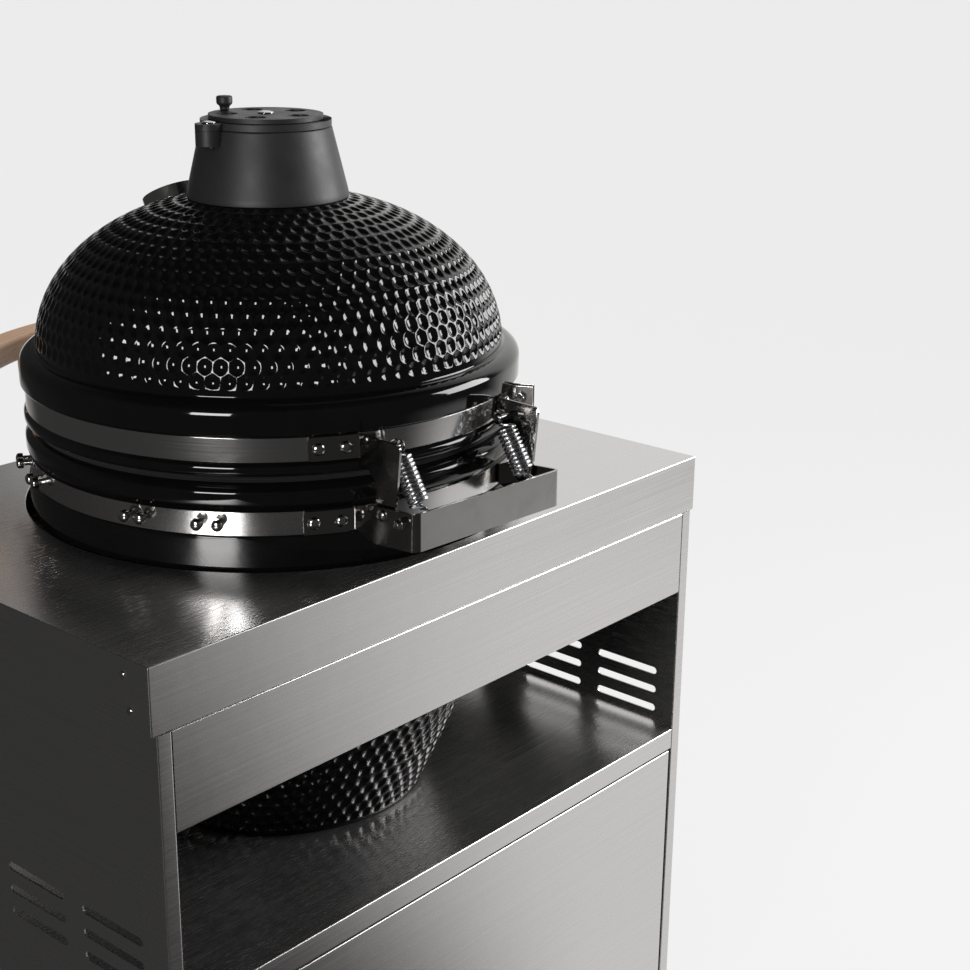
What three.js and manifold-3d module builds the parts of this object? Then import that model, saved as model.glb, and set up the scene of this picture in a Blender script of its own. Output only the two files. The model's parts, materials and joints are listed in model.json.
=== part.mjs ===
// Kamado grill table: a ceramic kamado that stands on the shelf of a folded
// stainless cabinet and passes up through a round cut-out in its worktop.
// Millimetres, +Z up. The front, with doors and lid handle, faces -Y and the lid
// hinge faces +Y. Left and right are those of a cook who stands at the front.
import * as THREE from "three";
import { mergeVertices } from "three/addons/utils/BufferGeometryUtils.js";
import Module from "manifold-3d";

const wasm = await Module();
wasm.setup();

// Fits and cutting
const seatGap = 0.3;
const reveal = 0.8;
const overrun = 4;
const pinClearance = 0.3;

// Table
const tableWidth = 860;
const tableHeight = 850;
const sheet = 2;
const skirtHeight = 70;
const skirtReturn = 15;
const cutoutClearance = 5;
const cutoutMargin = 15;
const cutoutRim = 12;
const panelInset = 6;
const postFace = 17;
const postLip = 15;
const apronHeight = 106;
const apronReturn = 14;
const bayHeight = 192;
const shelfLip = 27;
const floorLip = 40;
const footHeight = 60;

// Vent slots in the end panels
const slotLength = 95;
const slotWidth = 10;
const slotPitch = 26.5;
const slotRows = 3;
const slotRise = 9;
const slotEndMargin = 39;
const slotColumnPitch = 124.5;
const slotColumns = 2;

// Doors, rear panel and their fittings
const doorDepth = 18;
const doorGap = 3;
const doorSideGap = 4;
const pivotRadius = 4;
const pivotInsetX = 8;
const pivotInsetY = 7;
const pivotReach = 14;
const pullLength = 150;
const pullRadius = 6;
const pullStandoff = 32;
const pullInset = 40;
const pullPostInset = 12;

// Feet and shelf braces
const footRadius = 24;
const footPad = 14;
const footStem = 6;
const footInset = 42;
const braceHeight = 25;
const braceWidth = 56;
const braceFlange = 16;
const braceOffset = 110;

// Kamado, heights measured from the worktop's upper face
const kamadoTurn = THREE.MathUtils.degToRad(-3.2);
const bandSeatRadius = 275;
const bellyProud = 4;
const standRadius = 171;
const bellyPower = 1.6;
const wall = 28;
const floorThickness = 26;
const ridgeProud = 5;
const ridgeSlopeShare = 0.25;
const bandHeight = 25.2;
const bandGauge = 2;
const lowerBandBottom = 36.5;
const rimRise = 29;
const rimInset = 3;
const gasketGauge = 3;
const gasketWidth = 18;
const lidRimHeight = 17.1;
const flangeProud = 7.5;
const flangeHeight = 28.1;
const shoulderHeight = 21;
const domeInset = 12;
const domeHeight = 158;
const domePower = 2.1;
const lidWall = 25;
const ventHoleRadius = 70;

// Lid hinge, built on the two bands
const hingePlate = 3;
const armOffset = 101;
const earClearance = 2;
const hingeReach = 22.7;
const hingeRise = 1.9;
const hingeBoltRadius = 4;
const springRodReach = 53.2;
const springRodDrop = 0.9;
const springRodRadius = 3.5;
const backPlateStandoff = 18.5;
const backPlateBend = 8;
const armEndRadius = 13;
const boltHeadRadius = 6.5;
const boltHead = 5;
const armTabAngle = 14.1;
const shortArmTabAngle = 8.5;
const earTabAngle = 14.4;

// Springs of the lid hinge
const studReach = 11.7;
const studRise = 12;
const studRadius = 4;
const studFlange = 7;
const springInset = 24;
const springWire = 3.4;
const springRadius = 9.6;
const springCurls = 9;
const springLead = 12.9;
const springLoopRadius = 7.6;
const springLoopStart = -60;
const springLoopAngle = 240;
const springLoopSteps = 6;
const hookGap = 0.9;
const gapSamples = 400;
const curlSteps = 8;
const wireSides = 5;

// Chimney and its vent
const collarLap = 20;
const collarTaper = 18;
const collarHeight = 78;
const collarWall = 9;
const collarNeck = 16;
const ventPlateThickness = 7;
const ventWheelThickness = 5;
const ventPetals = 5;
const ventPetalRadius = 11.5;
const ventPetalInset = 21;
const ventPinRadius = 6;
const ventKnobRadius = 9;
const ventKnobHeight = 16;

// Lid handle
const handleStandoff = 56.7;
const handleDepth = 36;
const handleRise = 5.3;
const handleHeight = 29;
const handleRound = 7;
const handleHalfAngle = 32;
const handleBracketAngle = 17;
const handleTabHalfAngle = 4.5;
const handleFlange = 26;
const handleFlangeHeight = 16;

// Thermometer, set square to the dome
const gaugeRadialShare = 0.655;
const gaugeRadius = 37;
const gaugeAir = 0.8;
const gaugeStem = 5;
const gaugeStemLength = 60;
const gaugeBezel = 5;
const gaugeGlass = 2;
const gaugeNeedleClearance = 6;
const gaugeNeedleWidth = 3;
const gaugeNeedleTail = 6;
const gaugeColdAngle = 135;

// Draft door at the foot of the kamado
const draftWidth = 100;
const draftHeight = 46;
const draftSill = 4;
const draftStandoff = 6.6;
const draftGauge = 1.6;
const draftTrack = 2.4;
const draftLap = 5;
const draftLapAngle = 1.5;
const draftKnobShare = 0.667;
const draftTravelAngle = 28;
const draftHoleRows = 2;
const draftHoleColumns = 6;
const draftHoleRadius = 3;
const draftKnobRadius = 8;
const draftKnobLength = 14;

// Inside the kamado
const fireBoxTop = -70;
const fireBoxInset = 55;
const fireBoxFootInset = 15;
const fireBoxWall = 19;
const fireBoxPower = 0.6;
const fireBoxLevelShares = [0, 0.08, 0.25, 0.5, 1];
const fireBoxAshRadius = 61;
const fireGrateLevel = -225;
const fireGrateLedge = 18;
const fireGrateRadius = 140;
const fireGrateThickness = 12;
const fireGrateSlots = 12;
const fireGrateSlotWidth = 8;
const fireGrateSlotShares = [0.35, 0.85];
const fireRingTop = 48;
const cookInset = 15;
const cookRod = 6;
const cookBar = 4;
const cookPitch = 26;
const cookBarSides = 5;

// Mesh fineness: steps around a turn
const turnSteps = 44;
const innerSteps = 28;
const roundSteps = 20;
const pinSteps = 12;
const boltSides = 6;
const arcSteps = 2;
const bellySteps = 6;
const domeSteps = 7;
const hiddenSteps = 4;
const shoulderSteps = 3;
const handleSteps = 5;
const draftSteps = 7;

// Kamado: radii and heights worked out from the sizes above
const bellyRadius = bandSeatRadius + bellyProud;
const ridgeRadius = bandSeatRadius + ridgeProud;
const rimRadius = bandSeatRadius - rimInset;
const flangeRadius = bandSeatRadius + flangeProud;
const domeRadius = bandSeatRadius - domeInset;
const bandOuter = bandSeatRadius + seatGap + bandGauge;
const rimBase = lowerBandBottom + bandHeight + rimRise;
const rimLid = rimBase + 2 * (gasketGauge + seatGap) + seatGap;
const upperBandBottom = rimLid + lidRimHeight;
const flangeTop = upperBandBottom + bandHeight + flangeHeight;
const domeStart = flangeTop + shoulderHeight;
const earOffset = armOffset + hingePlate + earClearance;
const hingeY = bandOuter + hingeReach;
const hingeZ = lowerBandBottom + bandHeight + hingeRise;
const springRodY = bandOuter + springRodReach;
const springRodZ = hingeZ - springRodDrop;
const backPlateY = springRodY + backPlateStandoff;
const studY = bandOuter + studReach;
const studZ = upperBandBottom + studRise;
const springOffset = armOffset - springInset;
const collarBaseRadius = ventHoleRadius + collarLap;
const collarTopRadius = collarBaseRadius - collarTaper;
const ventWheelRadius = collarTopRadius - collarWall;
const handleInner = bandOuter + handleStandoff;
const handleOuter = handleInner + handleDepth;
const handleBottom = upperBandBottom + handleRise;
const fireBoxRadius = bellyRadius - wall - fireBoxInset;
const fireBoxFoot = standRadius - wall - fireBoxFootInset;
const cookRadius = bellyRadius - wall - cookInset;

// Table: levels and faces worked out from the sizes above
const cutoutRadius = ridgeRadius + cutoutClearance;
const tableDepth = 2 * (cutoutRadius + cutoutMargin);
const skirtBottom = tableHeight - skirtHeight;
const apronBottom = skirtBottom - apronHeight;
const shelfTop = apronBottom - bayHeight;
const floorTop = footHeight + floorLip;
const doorTop = shelfTop - shelfLip - doorGap;
const doorBottom = floorTop + doorGap;
const faceY = tableDepth / 2;
const panelX = tableWidth / 2 - panelInset;
const postX = panelX - postFace;
const standLevel = shelfTop - tableHeight + seatGap;
const draftLow = standLevel + floorThickness + draftSill;
const degrees = Math.PI / 180;
const quarterTurn = Math.PI / 2;

// Materials
const finish = (color, roughness, metalness) => () =>
  new THREE.MeshStandardMaterial({ color, roughness, metalness });
const brushedSteel = finish(0xb9b7b5, 0.35, 1);
const polishedSteel = finish(0xcfcfd0, 0.12, 1);
const glazedCeramic = finish(0x0a0a0b, 0.08, 0);
const rawCeramic = finish(0xc9b99c, 0.9, 0);
const castIron = finish(0x242425, 0.6, 0.4);
const lightWood = finish(0xc79a72, 0.5, 0);
const feltSeal = finish(0x1b1b1c, 0.95, 0);
const clearGlass = finish(0xe8eef0, 0.05, 0);
const whiteEnamel = finish(0xefeeea, 0.5, 0);
const blackRubber = finish(0x161616, 0.8, 0);
const redPaint = finish(0xa4231c, 0.5, 0);

// Solids: closed three.js geometry in, joined or cut solid out
function solid(geometry) {
  const bare = geometry.index ? geometry.toNonIndexed() : geometry.clone();
  bare.deleteAttribute("normal");
  bare.deleteAttribute("uv");
  const merged = mergeVertices(bare, 1e-4);
  const triVerts = new Uint32Array(merged.index.array);
  const vertProperties = merged.attributes.position.array;
  const made = new wasm.Manifold(new wasm.Mesh({ numProp: 3, vertProperties, triVerts }));
  if (made.volume() > 0) return made;
  for (let i = 0; i < triVerts.length; i += 3) {
    [triVerts[i + 1], triVerts[i + 2]] = [triVerts[i + 2], triVerts[i + 1]];
  }
  return new wasm.Manifold(new wasm.Mesh({ numProp: 3, vertProperties, triVerts }));
}
const asSolid = (shape) => (shape.isBufferGeometry ? solid(shape) : shape);
const joined = (...shapes) => shapes.map(asSolid).reduce((sum, next) => sum.add(next));
const without = (body, ...tools) =>
  tools.map(asSolid).reduce((rest, tool) => rest.subtract(tool), asSolid(body));
const common = (a, b) => asSolid(a).intersect(asSolid(b));

function geometryOf(made) {
  const mesh = made.getMesh();
  const geometry = new THREE.BufferGeometry();
  geometry.setAttribute("position", new THREE.BufferAttribute(mesh.vertProperties, 3));
  geometry.setIndex(new THREE.BufferAttribute(mesh.triVerts, 1));
  const flat = geometry.toNonIndexed();
  flat.computeVertexNormals();
  return flat;
}

// Basic forms: a box between two corners, turned and extruded profiles, folded sheet
const between = (low, high) => {
  const size = high.map((value, i) => value - low[i]);
  const middle = high.map((value, i) => (value + low[i]) / 2);
  return new THREE.BoxGeometry(...size).translate(...middle);
};
const outline = (points) => new THREE.Shape(points.map(([x, y]) => new THREE.Vector2(x, y)));
const turned = (points, steps = turnSteps) =>
  new THREE.LatheGeometry(points.map(([r, z]) => new THREE.Vector2(r, z)), steps).rotateX(quarterTurn);
const ring = (inner, outer, bottom, top, steps = turnSteps) =>
  turned([[inner, bottom], [outer, bottom], [outer, top], [inner, top], [inner, bottom]], steps);
const prism = (shape, bottom, top, curveSegments = arcSteps) =>
  new THREE.ExtrudeGeometry(shape, { depth: top - bottom, bevelEnabled: false, curveSegments })
    .translate(0, 0, bottom);

// A prism that runs along X, its outline given as (y, z) points
const prismX = (points, low, high) =>
  prism(outline(points), low, high).applyMatrix4(
    new THREE.Matrix4().makeBasis(
      new THREE.Vector3(0, 1, 0), new THREE.Vector3(0, 0, 1), new THREE.Vector3(1, 0, 0)));

// A round bar between two heights, or along X or along -Y
const barZ = (radius, x, y, bottom, top, steps = pinSteps) =>
  new THREE.CylinderGeometry(radius, radius, top - bottom, steps)
    .rotateX(quarterTurn).translate(x, y, (top + bottom) / 2);
const barX = (radius, low, high, y, z, steps = pinSteps) =>
  new THREE.CylinderGeometry(radius, radius, high - low, steps)
    .rotateZ(quarterTurn).translate((high + low) / 2, y, z);
const barY = (radius, x, low, high, z, steps = pinSteps) =>
  new THREE.CylinderGeometry(radius, radius, high - low, steps)
    .translate(x, (high + low) / 2, z);

// Folded sheet: the outer line of the fold and a gauge laid to its right
function folded(line, gauge) {
  const inner = line.map(([x, y], i) => {
    const sides = [];
    if (i > 0) sides.push([line[i - 1], [x, y]]);
    if (i < line.length - 1) sides.push([[x, y], line[i + 1]]);
    const normals = sides.map(([[ax, ay], [bx, by]]) => {
      const length = Math.hypot(bx - ax, by - ay);
      return [(by - ay) / length, -(bx - ax) / length];
    });
    const sum = normals.reduce(([ax, ay], [bx, by]) => [ax + bx, ay + by]);
    const dot = normals[0][0] * sum[0] + normals[0][1] * sum[1];
    return [x + (gauge * sum[0]) / dot, y + (gauge * sum[1]) / dot];
  });
  return outline([...line, ...inner.reverse()]);
}

// A sector between two radii, its angles in degrees from +Y towards +X
function sector(inner, outer, from, to) {
  const shape = new THREE.Shape();
  const [a, b] = [(90 - to) * degrees, (90 - from) * degrees];
  shape.absarc(0, 0, outer, a, b, false);
  shape.absarc(0, 0, inner, b, a, true);
  return shape;
}
const sectorPlate = (inner, outer, from, to, bottom, top, steps = arcSteps) =>
  prism(sector(inner, outer, from, to), bottom, top, steps);

// Where a line parallel to Y, x from the axis, meets a circle
const tangentY = (radius, x) => Math.sqrt(radius * radius - x * x);

const arc = (cx, cy, radius, from, to, steps) =>
  Array.from({ length: steps + 1 }, (_, i) => {
    const angle = (from + ((to - from) * i) / steps) * degrees;
    return [cx + radius * Math.cos(angle), cy + radius * Math.sin(angle)];
  });

// Scene graph: the table, and the kamado turned a little on the table
const table = new THREE.Group();
const kamado = new THREE.Group();
kamado.rotation.z = kamadoTurn;
kamado.position.z = tableHeight;
table.add(kamado);

function place(parent, name, shape, material) {
  const mesh = new THREE.Mesh(geometryOf(asSolid(shape)), material());
  mesh.name = name;
  parent.add(mesh);
  return mesh;
}
const sides = [["left", -1], ["right", 1]];
const ends = [["front", -1], ["rear", 1]];

// Worktop: folded cap with a turned-down rim round the cut-out
function makeWorktop() {
  const frame = (x, y, gauge, bottom, top) => {
    const shape = outline([[-x, -y], [x, -y], [x, y], [-x, y]]);
    const [hx, hy] = [x - gauge, y - gauge];
    shape.holes.push(outline([[-hx, -hy], [-hx, hy], [hx, hy], [hx, -hy]]));
    return prism(shape, bottom, top);
  };
  const [x, y] = [tableWidth / 2, tableDepth / 2];
  const plate = between([-x, -y, tableHeight - sheet], [x, y, tableHeight]);
  const rim = ring(cutoutRadius, cutoutRadius + sheet, tableHeight - cutoutRim, tableHeight);
  const hole = barZ(cutoutRadius, 0, 0, skirtBottom, tableHeight + overrun, turnSteps);
  const skirt = frame(x, y, sheet, skirtBottom, tableHeight);
  const hem = frame(x, y, skirtReturn, skirtBottom, skirtBottom + sheet);
  place(table, "worktop", joined(without(plate, hole), rim, skirt, hem), brushedSteel);
}

// End panels: each wraps round both corners as posts and holds rows of vent slots
function makeEndPanels() {
  const slots = (side) => {
    const tools = [];
    for (let row = 0; row < slotRows; row += 1) {
      for (let column = 0; column < slotColumns; column += 1) {
        for (const [, end] of ends) {
          const y = end * (faceY - slotEndMargin - slotLength / 2 - column * slotColumnPitch);
          const z = shelfTop + slotRise + row * slotPitch + slotWidth / 2 - sheet;
          const half = (slotLength - slotWidth) / 2;
          const points = [
            ...arc(y + half, z, slotWidth / 2, -90, 90, 3),
            ...arc(y - half, z, slotWidth / 2, 90, 270, 3)];
          const low = side > 0 ? panelX - sheet - overrun : -panelX - overrun;
          tools.push(prismX(points, low, low + sheet + 2 * overrun));
        }
      }
    }
    return tools;
  };
  for (const [name, side] of sides) {
    const line = [
      [postX, faceY - postLip], [postX, faceY], [panelX, faceY],
      [panelX, -faceY], [postX, -faceY], [postX, postLip - faceY]];
    const profile = prism(folded(line, sheet), footHeight, skirtBottom - seatGap);
    if (side < 0) profile.rotateZ(Math.PI);
    place(table, `end_panel_${name}`, without(profile, ...slots(side)), brushedSteel);
  }
}

// Aprons: channels that close the frame between the posts under the worktop
function makeAprons() {
  const length = postX - reveal;
  for (const [name, end] of ends) {
    const top = skirtBottom - seatGap;
    const line = [
      [faceY - apronReturn, top], [faceY, top],
      [faceY, apronBottom], [faceY - apronReturn, apronBottom]];
    const apron = prism(folded(line, sheet), -length, length).applyMatrix4(
      new THREE.Matrix4().makeBasis(
        new THREE.Vector3(0, 1, 0), new THREE.Vector3(0, 0, 1), new THREE.Vector3(1, 0, 0)));
    if (end < 0) apron.rotateZ(Math.PI);
    place(table, `apron_${name}`, apron, brushedSteel);
  }
}

// Shelf and cabinet floor: plates with deep front and rear lips, notched at the posts
function makeTray(name, top, lip) {
  const inner = panelX - sheet - seatGap;
  const notchX = postX - reveal;
  const notchY = faceY - postLip - reveal;
  const plan = outline([
    [-notchX, -faceY], [notchX, -faceY], [notchX, -notchY], [inner, -notchY],
    [inner, notchY], [notchX, notchY], [notchX, faceY], [-notchX, faceY],
    [-notchX, notchY], [-inner, notchY], [-inner, -notchY], [-notchX, -notchY]]);
  const lips = ends.map(([, end]) => {
    const y = [end * faceY, end * (faceY - sheet)].sort((a, b) => a - b);
    return between([-notchX, y[0], top - lip], [notchX, y[1], top]);
  });
  place(table, name, joined(prism(plan, top - sheet, top), ...lips), brushedSteel);
}

// Braces: hat channels under the shelf that take the kamado's weight to the end panels
function makeBraces() {
  const top = shelfTop - sheet - seatGap;
  const half = braceWidth / 2;
  const line = [
    [-half - braceFlange, top], [-half, top], [-half, top - braceHeight],
    [half, top - braceHeight], [half, top], [half + braceFlange, top]];
  const reach = panelX - sheet - seatGap;
  for (const [name, end] of ends) {
    const section = folded(line, -sheet).getPoints().map(({ x, y }) => [x + end * braceOffset, y]);
    const lowered = section.map(([y, z]) => [y, z - sheet]);
    place(table, `shelf_brace_${name}`, prismX(lowered, -reach, reach), brushedSteel);
  }
}

// Levelling feet: rubber-shod pads on stems that run up to the cabinet floor
function makeFeet() {
  const top = floorTop - sheet - seatGap;
  const profile = [
    [0, 0], [footRadius, 0], [footRadius, footPad / 2], [footRadius / 2, footPad],
    [footStem, footPad], [footStem, top], [0, top]];
  for (const [endName, end] of ends) {
    for (const [sideName, side] of sides) {
      const foot = turned(profile, roundSteps);
      foot.translate(side * (panelX - footInset), end * (faceY - footInset), 0);
      place(table, `foot_${endName}_${sideName}`, foot, blackRubber);
    }
  }
}

// A pan: face sheet with four folded edges, open behind, its face at y = -faceY
function pan(x0, x1, z0, z1) {
  const shell = between([x0, -faceY, z0], [x1, doorDepth - faceY, z1]);
  const hollow = between(
    [x0 + sheet, sheet - faceY, z0 + sheet],
    [x1 - sheet, doorDepth - faceY + overrun, z1 - sheet]);
  return without(shell, hollow);
}

// Rear panel: one fixed pan that stands on the cabinet floor
function makeRearPanel() {
  const reach = postX - doorSideGap;
  const body = pan(-reach, reach, floorTop + seatGap, doorTop);
  place(table, "rear_panel", geometryOf(body).rotateZ(Math.PI), brushedSteel);
}

// Doors: pans that turn on pins at their outer edges, each with a bar pull
function makeDoors() {
  for (const [name, side] of sides) {
    const outer = postX - doorSideGap;
    const [x0, x1] = [doorGap / 2, outer].map((x) => side * x).sort((a, b) => a - b);
    const pivotX = side * (outer - pivotInsetX);
    const pivotY = pivotInsetY - faceY;
    const bore = barZ(pivotRadius + pinClearance, pivotX, pivotY, doorBottom - overrun, doorTop + overrun);
    place(table, `door_${name}`, without(pan(x0, x1, doorBottom, doorTop), bore), brushedSteel);
    const pins = [
      ["upper", doorTop - pivotReach, shelfTop - sheet - seatGap],
      ["lower", floorTop + seatGap, doorBottom + pivotReach]];
    for (const [level, bottom, top] of pins) {
      place(table, `door_pin_${level}_${name}`, barZ(pivotRadius, pivotX, pivotY, bottom, top), polishedSteel);
    }
    const pullX = side * pullInset;
    const pullTop = doorTop - pullInset;
    const pullY = -faceY - pullStandoff;
    const posts = [pullTop - pullPostInset, pullTop - pullLength + pullPostInset].map((z) =>
      barY(pullRadius, pullX, pullY, -faceY - seatGap, z));
    const grip = barZ(pullRadius, pullX, pullY, pullTop - pullLength, pullTop);
    place(table, `door_pull_${name}`, joined(grip, ...posts), polishedSteel);
  }
}

// Kamado base: belly that narrows to its foot, ridged rim, seat for the lower band
const bellyAt = (z) =>
  bellyRadius - (bellyRadius - standRadius) * Math.pow(Math.max(0, -z) / -standLevel, bellyPower);
const bandTop = (bottom) => bottom + bandHeight;

function ridge(bottom, top, foot, crest) {
  const slope = (top - bottom) * ridgeSlopeShare;
  return [[foot, bottom], [crest, bottom + slope], [crest, top - slope], [foot, top]];
}

function makeBase() {
  const levels = (steps) => Array.from({ length: steps + 1 }, (_, i) => (standLevel * (steps - i)) / steps);
  const outer = levels(bellySteps).map((z) => [bellyAt(z), z]);
  const inner = levels(hiddenSteps).slice(1).map((z) => [bellyAt(z) - wall, z]);
  const bandFoot = lowerBandBottom - seatGap;
  const profile = [
    [0, standLevel], ...outer, [bellyRadius, bandFoot - seatGap], [bandSeatRadius, bandFoot],
    ...ridge(bandTop(lowerBandBottom) + seatGap, rimBase, bandSeatRadius, ridgeRadius).slice(0, 3),
    [rimRadius, rimBase], [bellyRadius - wall, rimBase], ...inner.reverse(),
    [standRadius - wall, standLevel + floorThickness], [0, standLevel + floorThickness]];
  const window = between(
    [-draftWidth / 2, -bellyRadius, draftLow], [draftWidth / 2, 0, draftLow + draftHeight]);
  place(kamado, "base_shell", without(turned(profile), window), glazedCeramic);
}

function makeGaskets() {
  const inner = rimRadius - gasketWidth - gasketGauge;
  const outer = rimRadius - gasketGauge;
  const low = rimBase + seatGap;
  const high = low + gasketGauge + seatGap;
  place(kamado, "base_gasket", ring(inner, outer, low, low + gasketGauge, innerSteps), feltSeal);
  place(kamado, "lid_gasket", ring(inner, outer, high, high + gasketGauge, innerSteps), feltSeal);
}

// Lid: rim ridge, band seat, rounded flange and a dome that is a superellipse
const domeAt = (angle) => [
  domeRadius * Math.pow(Math.cos(angle), 2 / domePower),
  domeStart + domeHeight * Math.sin(angle)];
const domeAngleAt = (radius) => Math.acos(Math.pow(radius / domeRadius, domePower / 2));
const smallAngle = 1e-3;
const domeNormalAt = (angle) => {
  const [ar, az] = domeAt(angle - smallAngle);
  const [br, bz] = domeAt(angle + smallAngle);
  const length = Math.hypot(br - ar, bz - az);
  return [(bz - az) / length, (ar - br) / length];
};

function makeLid() {
  const last = domeAngleAt(ventHoleRadius);
  const angles = (steps) => Array.from({ length: steps + 1 }, (_, i) => (last * i) / steps);
  const dome = angles(domeSteps).map(domeAt);
  const inside = angles(hiddenSteps).map((angle) => {
    const [r, z] = domeAt(angle);
    const [nr, nz] = domeNormalAt(angle);
    return [Math.max(r - lidWall * nr, ventHoleRadius), z - lidWall * nz];
  });
  const seatTop = bandTop(upperBandBottom) + seatGap;
  const shoulder = Array.from({ length: shoulderSteps }, (_, i) => {
    const angle = (quarterTurn * i) / shoulderSteps;
    return [
      domeRadius + (flangeRadius - domeRadius) * Math.cos(angle),
      flangeTop + (domeStart - flangeTop) * Math.sin(angle)];
  });
  const profile = [
    [bellyRadius - wall, rimLid], [rimRadius, rimLid],
    ...ridge(rimLid, upperBandBottom - seatGap, rimRadius, ridgeRadius).slice(1, 3),
    [bandSeatRadius, upperBandBottom - seatGap], [bandSeatRadius, seatTop],
    [flangeRadius, seatTop + seatGap + bandGauge], ...shoulder, ...dome,
    ...inside.reverse(), [bellyRadius - wall, rimLid]];
  const gauge = gaugeFrame();
  const bore = new THREE.CylinderGeometry(
    gaugeStem + pinClearance, gaugeStem + pinClearance, 2 * gaugeStemLength, pinSteps)
    .rotateX(quarterTurn).applyMatrix4(gauge);
  place(kamado, "lid_shell", without(turned(profile), bore), glazedCeramic);
}

// Thermometer frame: +Z square to the dome, on the handle side
function gaugeFrame() {
  const angle = domeAngleAt(domeRadius * gaugeRadialShare);
  const [r, z] = domeAt(angle);
  const [nr, nz] = domeNormalAt(angle);
  const normal = new THREE.Vector3(0, -nr, nz);
  const across = new THREE.Vector3(1, 0, 0);
  const up = new THREE.Vector3().crossVectors(normal, across);
  return new THREE.Matrix4().makeBasis(across, up, normal).setPosition(0, -r, z);
}

function makeThermometer() {
  const gauge = new THREE.Group();
  gaugeFrame().decompose(gauge.position, gauge.quaternion, gauge.scale);
  kamado.add(gauge);
  const inner = gaugeRadius - gaugeBezel;
  const base = seatGap;
  const dialTop = base + gaugeBezel + seatGap + sheet;
  const hubTop = dialTop + seatGap + sheet;
  const glassLow = hubTop + gaugeAir;
  const glassTop = glassLow + gaugeGlass;
  const gaugeDepth = glassTop + seatGap + sheet;
  const cup = turned([
    [0, -gaugeStemLength], [gaugeStem, -gaugeStemLength], [gaugeStem, base], [gaugeRadius, base],
    [gaugeRadius, gaugeDepth], [inner - sheet, gaugeDepth],
    [inner - sheet, gaugeDepth - sheet], [inner, gaugeDepth - sheet],
    [inner, base + gaugeBezel], [0, base + gaugeBezel]], roundSteps);
  place(gauge, "thermometer_case", cup, polishedSteel);
  const dial = ring(gaugeStem / 2 + pinClearance, inner - seatGap, base + gaugeBezel + seatGap, dialTop, roundSteps);
  place(gauge, "thermometer_dial", dial, whiteEnamel);
  const hub = barZ(gaugeStem / 2, 0, 0, base + gaugeBezel + seatGap, hubTop);
  const blade = prism(outline([
    [-gaugeNeedleWidth, -gaugeNeedleTail], [gaugeNeedleWidth, -gaugeNeedleTail],
    [0, inner - gaugeNeedleClearance]]),
  dialTop + seatGap, dialTop + seatGap + sheet / 2);
  const needle = place(gauge, "thermometer_needle", joined(hub, blade), redPaint);
  needle.rotation.z = gaugeColdAngle * degrees;
  const glass = barZ(inner - seatGap, 0, 0, glassLow, glassTop, roundSteps);
  place(gauge, "thermometer_glass", glass, clearGlass);
}

// Bands: clamped rings; the lower one also carries pairs of domed bolts
const boltPairAngles = [54.2, 58.6, 69.2, 72.8, 101.4, 104.7, 113.7, 117.2];
const bandBoltRadius = 3;
const bandNutRadius = 5.2;
const bandBoltLength = 13;
const bandNutLength = 8;
const bandBoltRise = 17;
const clampGap = 7;
const clampEar = 27;
const clampEarGauge = 2.5;
const clampBoltRadius = 3;
const lowerClampAngle = 180;
const upperClampStepAngle = 3.1;

const atAngle = (shape, angle) => (shape.isBufferGeometry
  ? shape.rotateZ(-angle * degrees) : shape.rotate([0, 0, -angle]));

function makeBand(name, bottom, clampAngle, boltAngles) {
  const top = bandTop(bottom);
  const middle = (bottom + top) / 2;
  const seat = bandSeatRadius + seatGap;
  const half = clampGap / 2;
  const parts = [ring(seat, bandOuter, bottom, top)];
  const eared = [-1, 1].map((side) => {
    const x = [side * half, side * (half + clampEarGauge)].sort((a, b) => a - b);
    return between([x[0], bandOuter - bandGauge / 2, bottom], [x[1], bandOuter + clampEar, top]);
  });
  parts.push(...eared.map((ear) => atAngle(ear, clampAngle)));
  for (const angle of boltAngles) {
    const z = bottom + bandBoltRise;
    const shank = barY(bandBoltRadius, 0, bandOuter - bandGauge / 2, bandOuter + bandBoltLength, z, boltSides);
    const nut = barY(bandNutRadius, 0, bandOuter + bandBoltLength - overrun / 2,
      bandOuter + bandBoltLength + bandNutLength, z, boltSides);
    parts.push(atAngle(shank, angle), atAngle(nut, angle));
  }
  const boltY = bandOuter + clampEar / 2;
  const reach = half + clampEarGauge;
  const split = between([-half, seat - overrun, bottom - overrun], [half, bandOuter + overrun, top + overrun]);
  const bore = barX(clampBoltRadius + pinClearance, -reach - overrun, reach + overrun, boltY, middle);
  const band = without(joined(...parts), atAngle(split, clampAngle), atAngle(bore, clampAngle));
  place(kamado, name, band, brushedSteel);
  const out = reach + seatGap;
  const bolt = joined(
    barX(clampBoltRadius, -out - boltHead, out + boltHead, boltY, middle),
    barX(boltHeadRadius, -out - boltHead, -out, boltY, middle, boltSides),
    barX(boltHeadRadius, out, out + boltHead, boltY, middle, boltSides));
  place(kamado, `${name}_clamp_bolt`, atAngle(geometryOf(bolt), clampAngle), polishedSteel);
}

// Hinge arms: tabs on the upper band, plates that drop to the hinge bolts, spring studs
const armWidth = 60;
const armRound = 7;
const armTaper = 4;
const armShoulderDrop = 18.7;

// Where a plate parallel to the middle plane leaves the band, in degrees from +Y
const tabStart = (offset) =>
  Math.asin((offset - hingePlate / 2) / (bandOuter + seatGap)) / degrees;

const upperClampAngle = -(tabStart(armOffset) + shortArmTabAngle + upperClampStepAngle);

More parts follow.
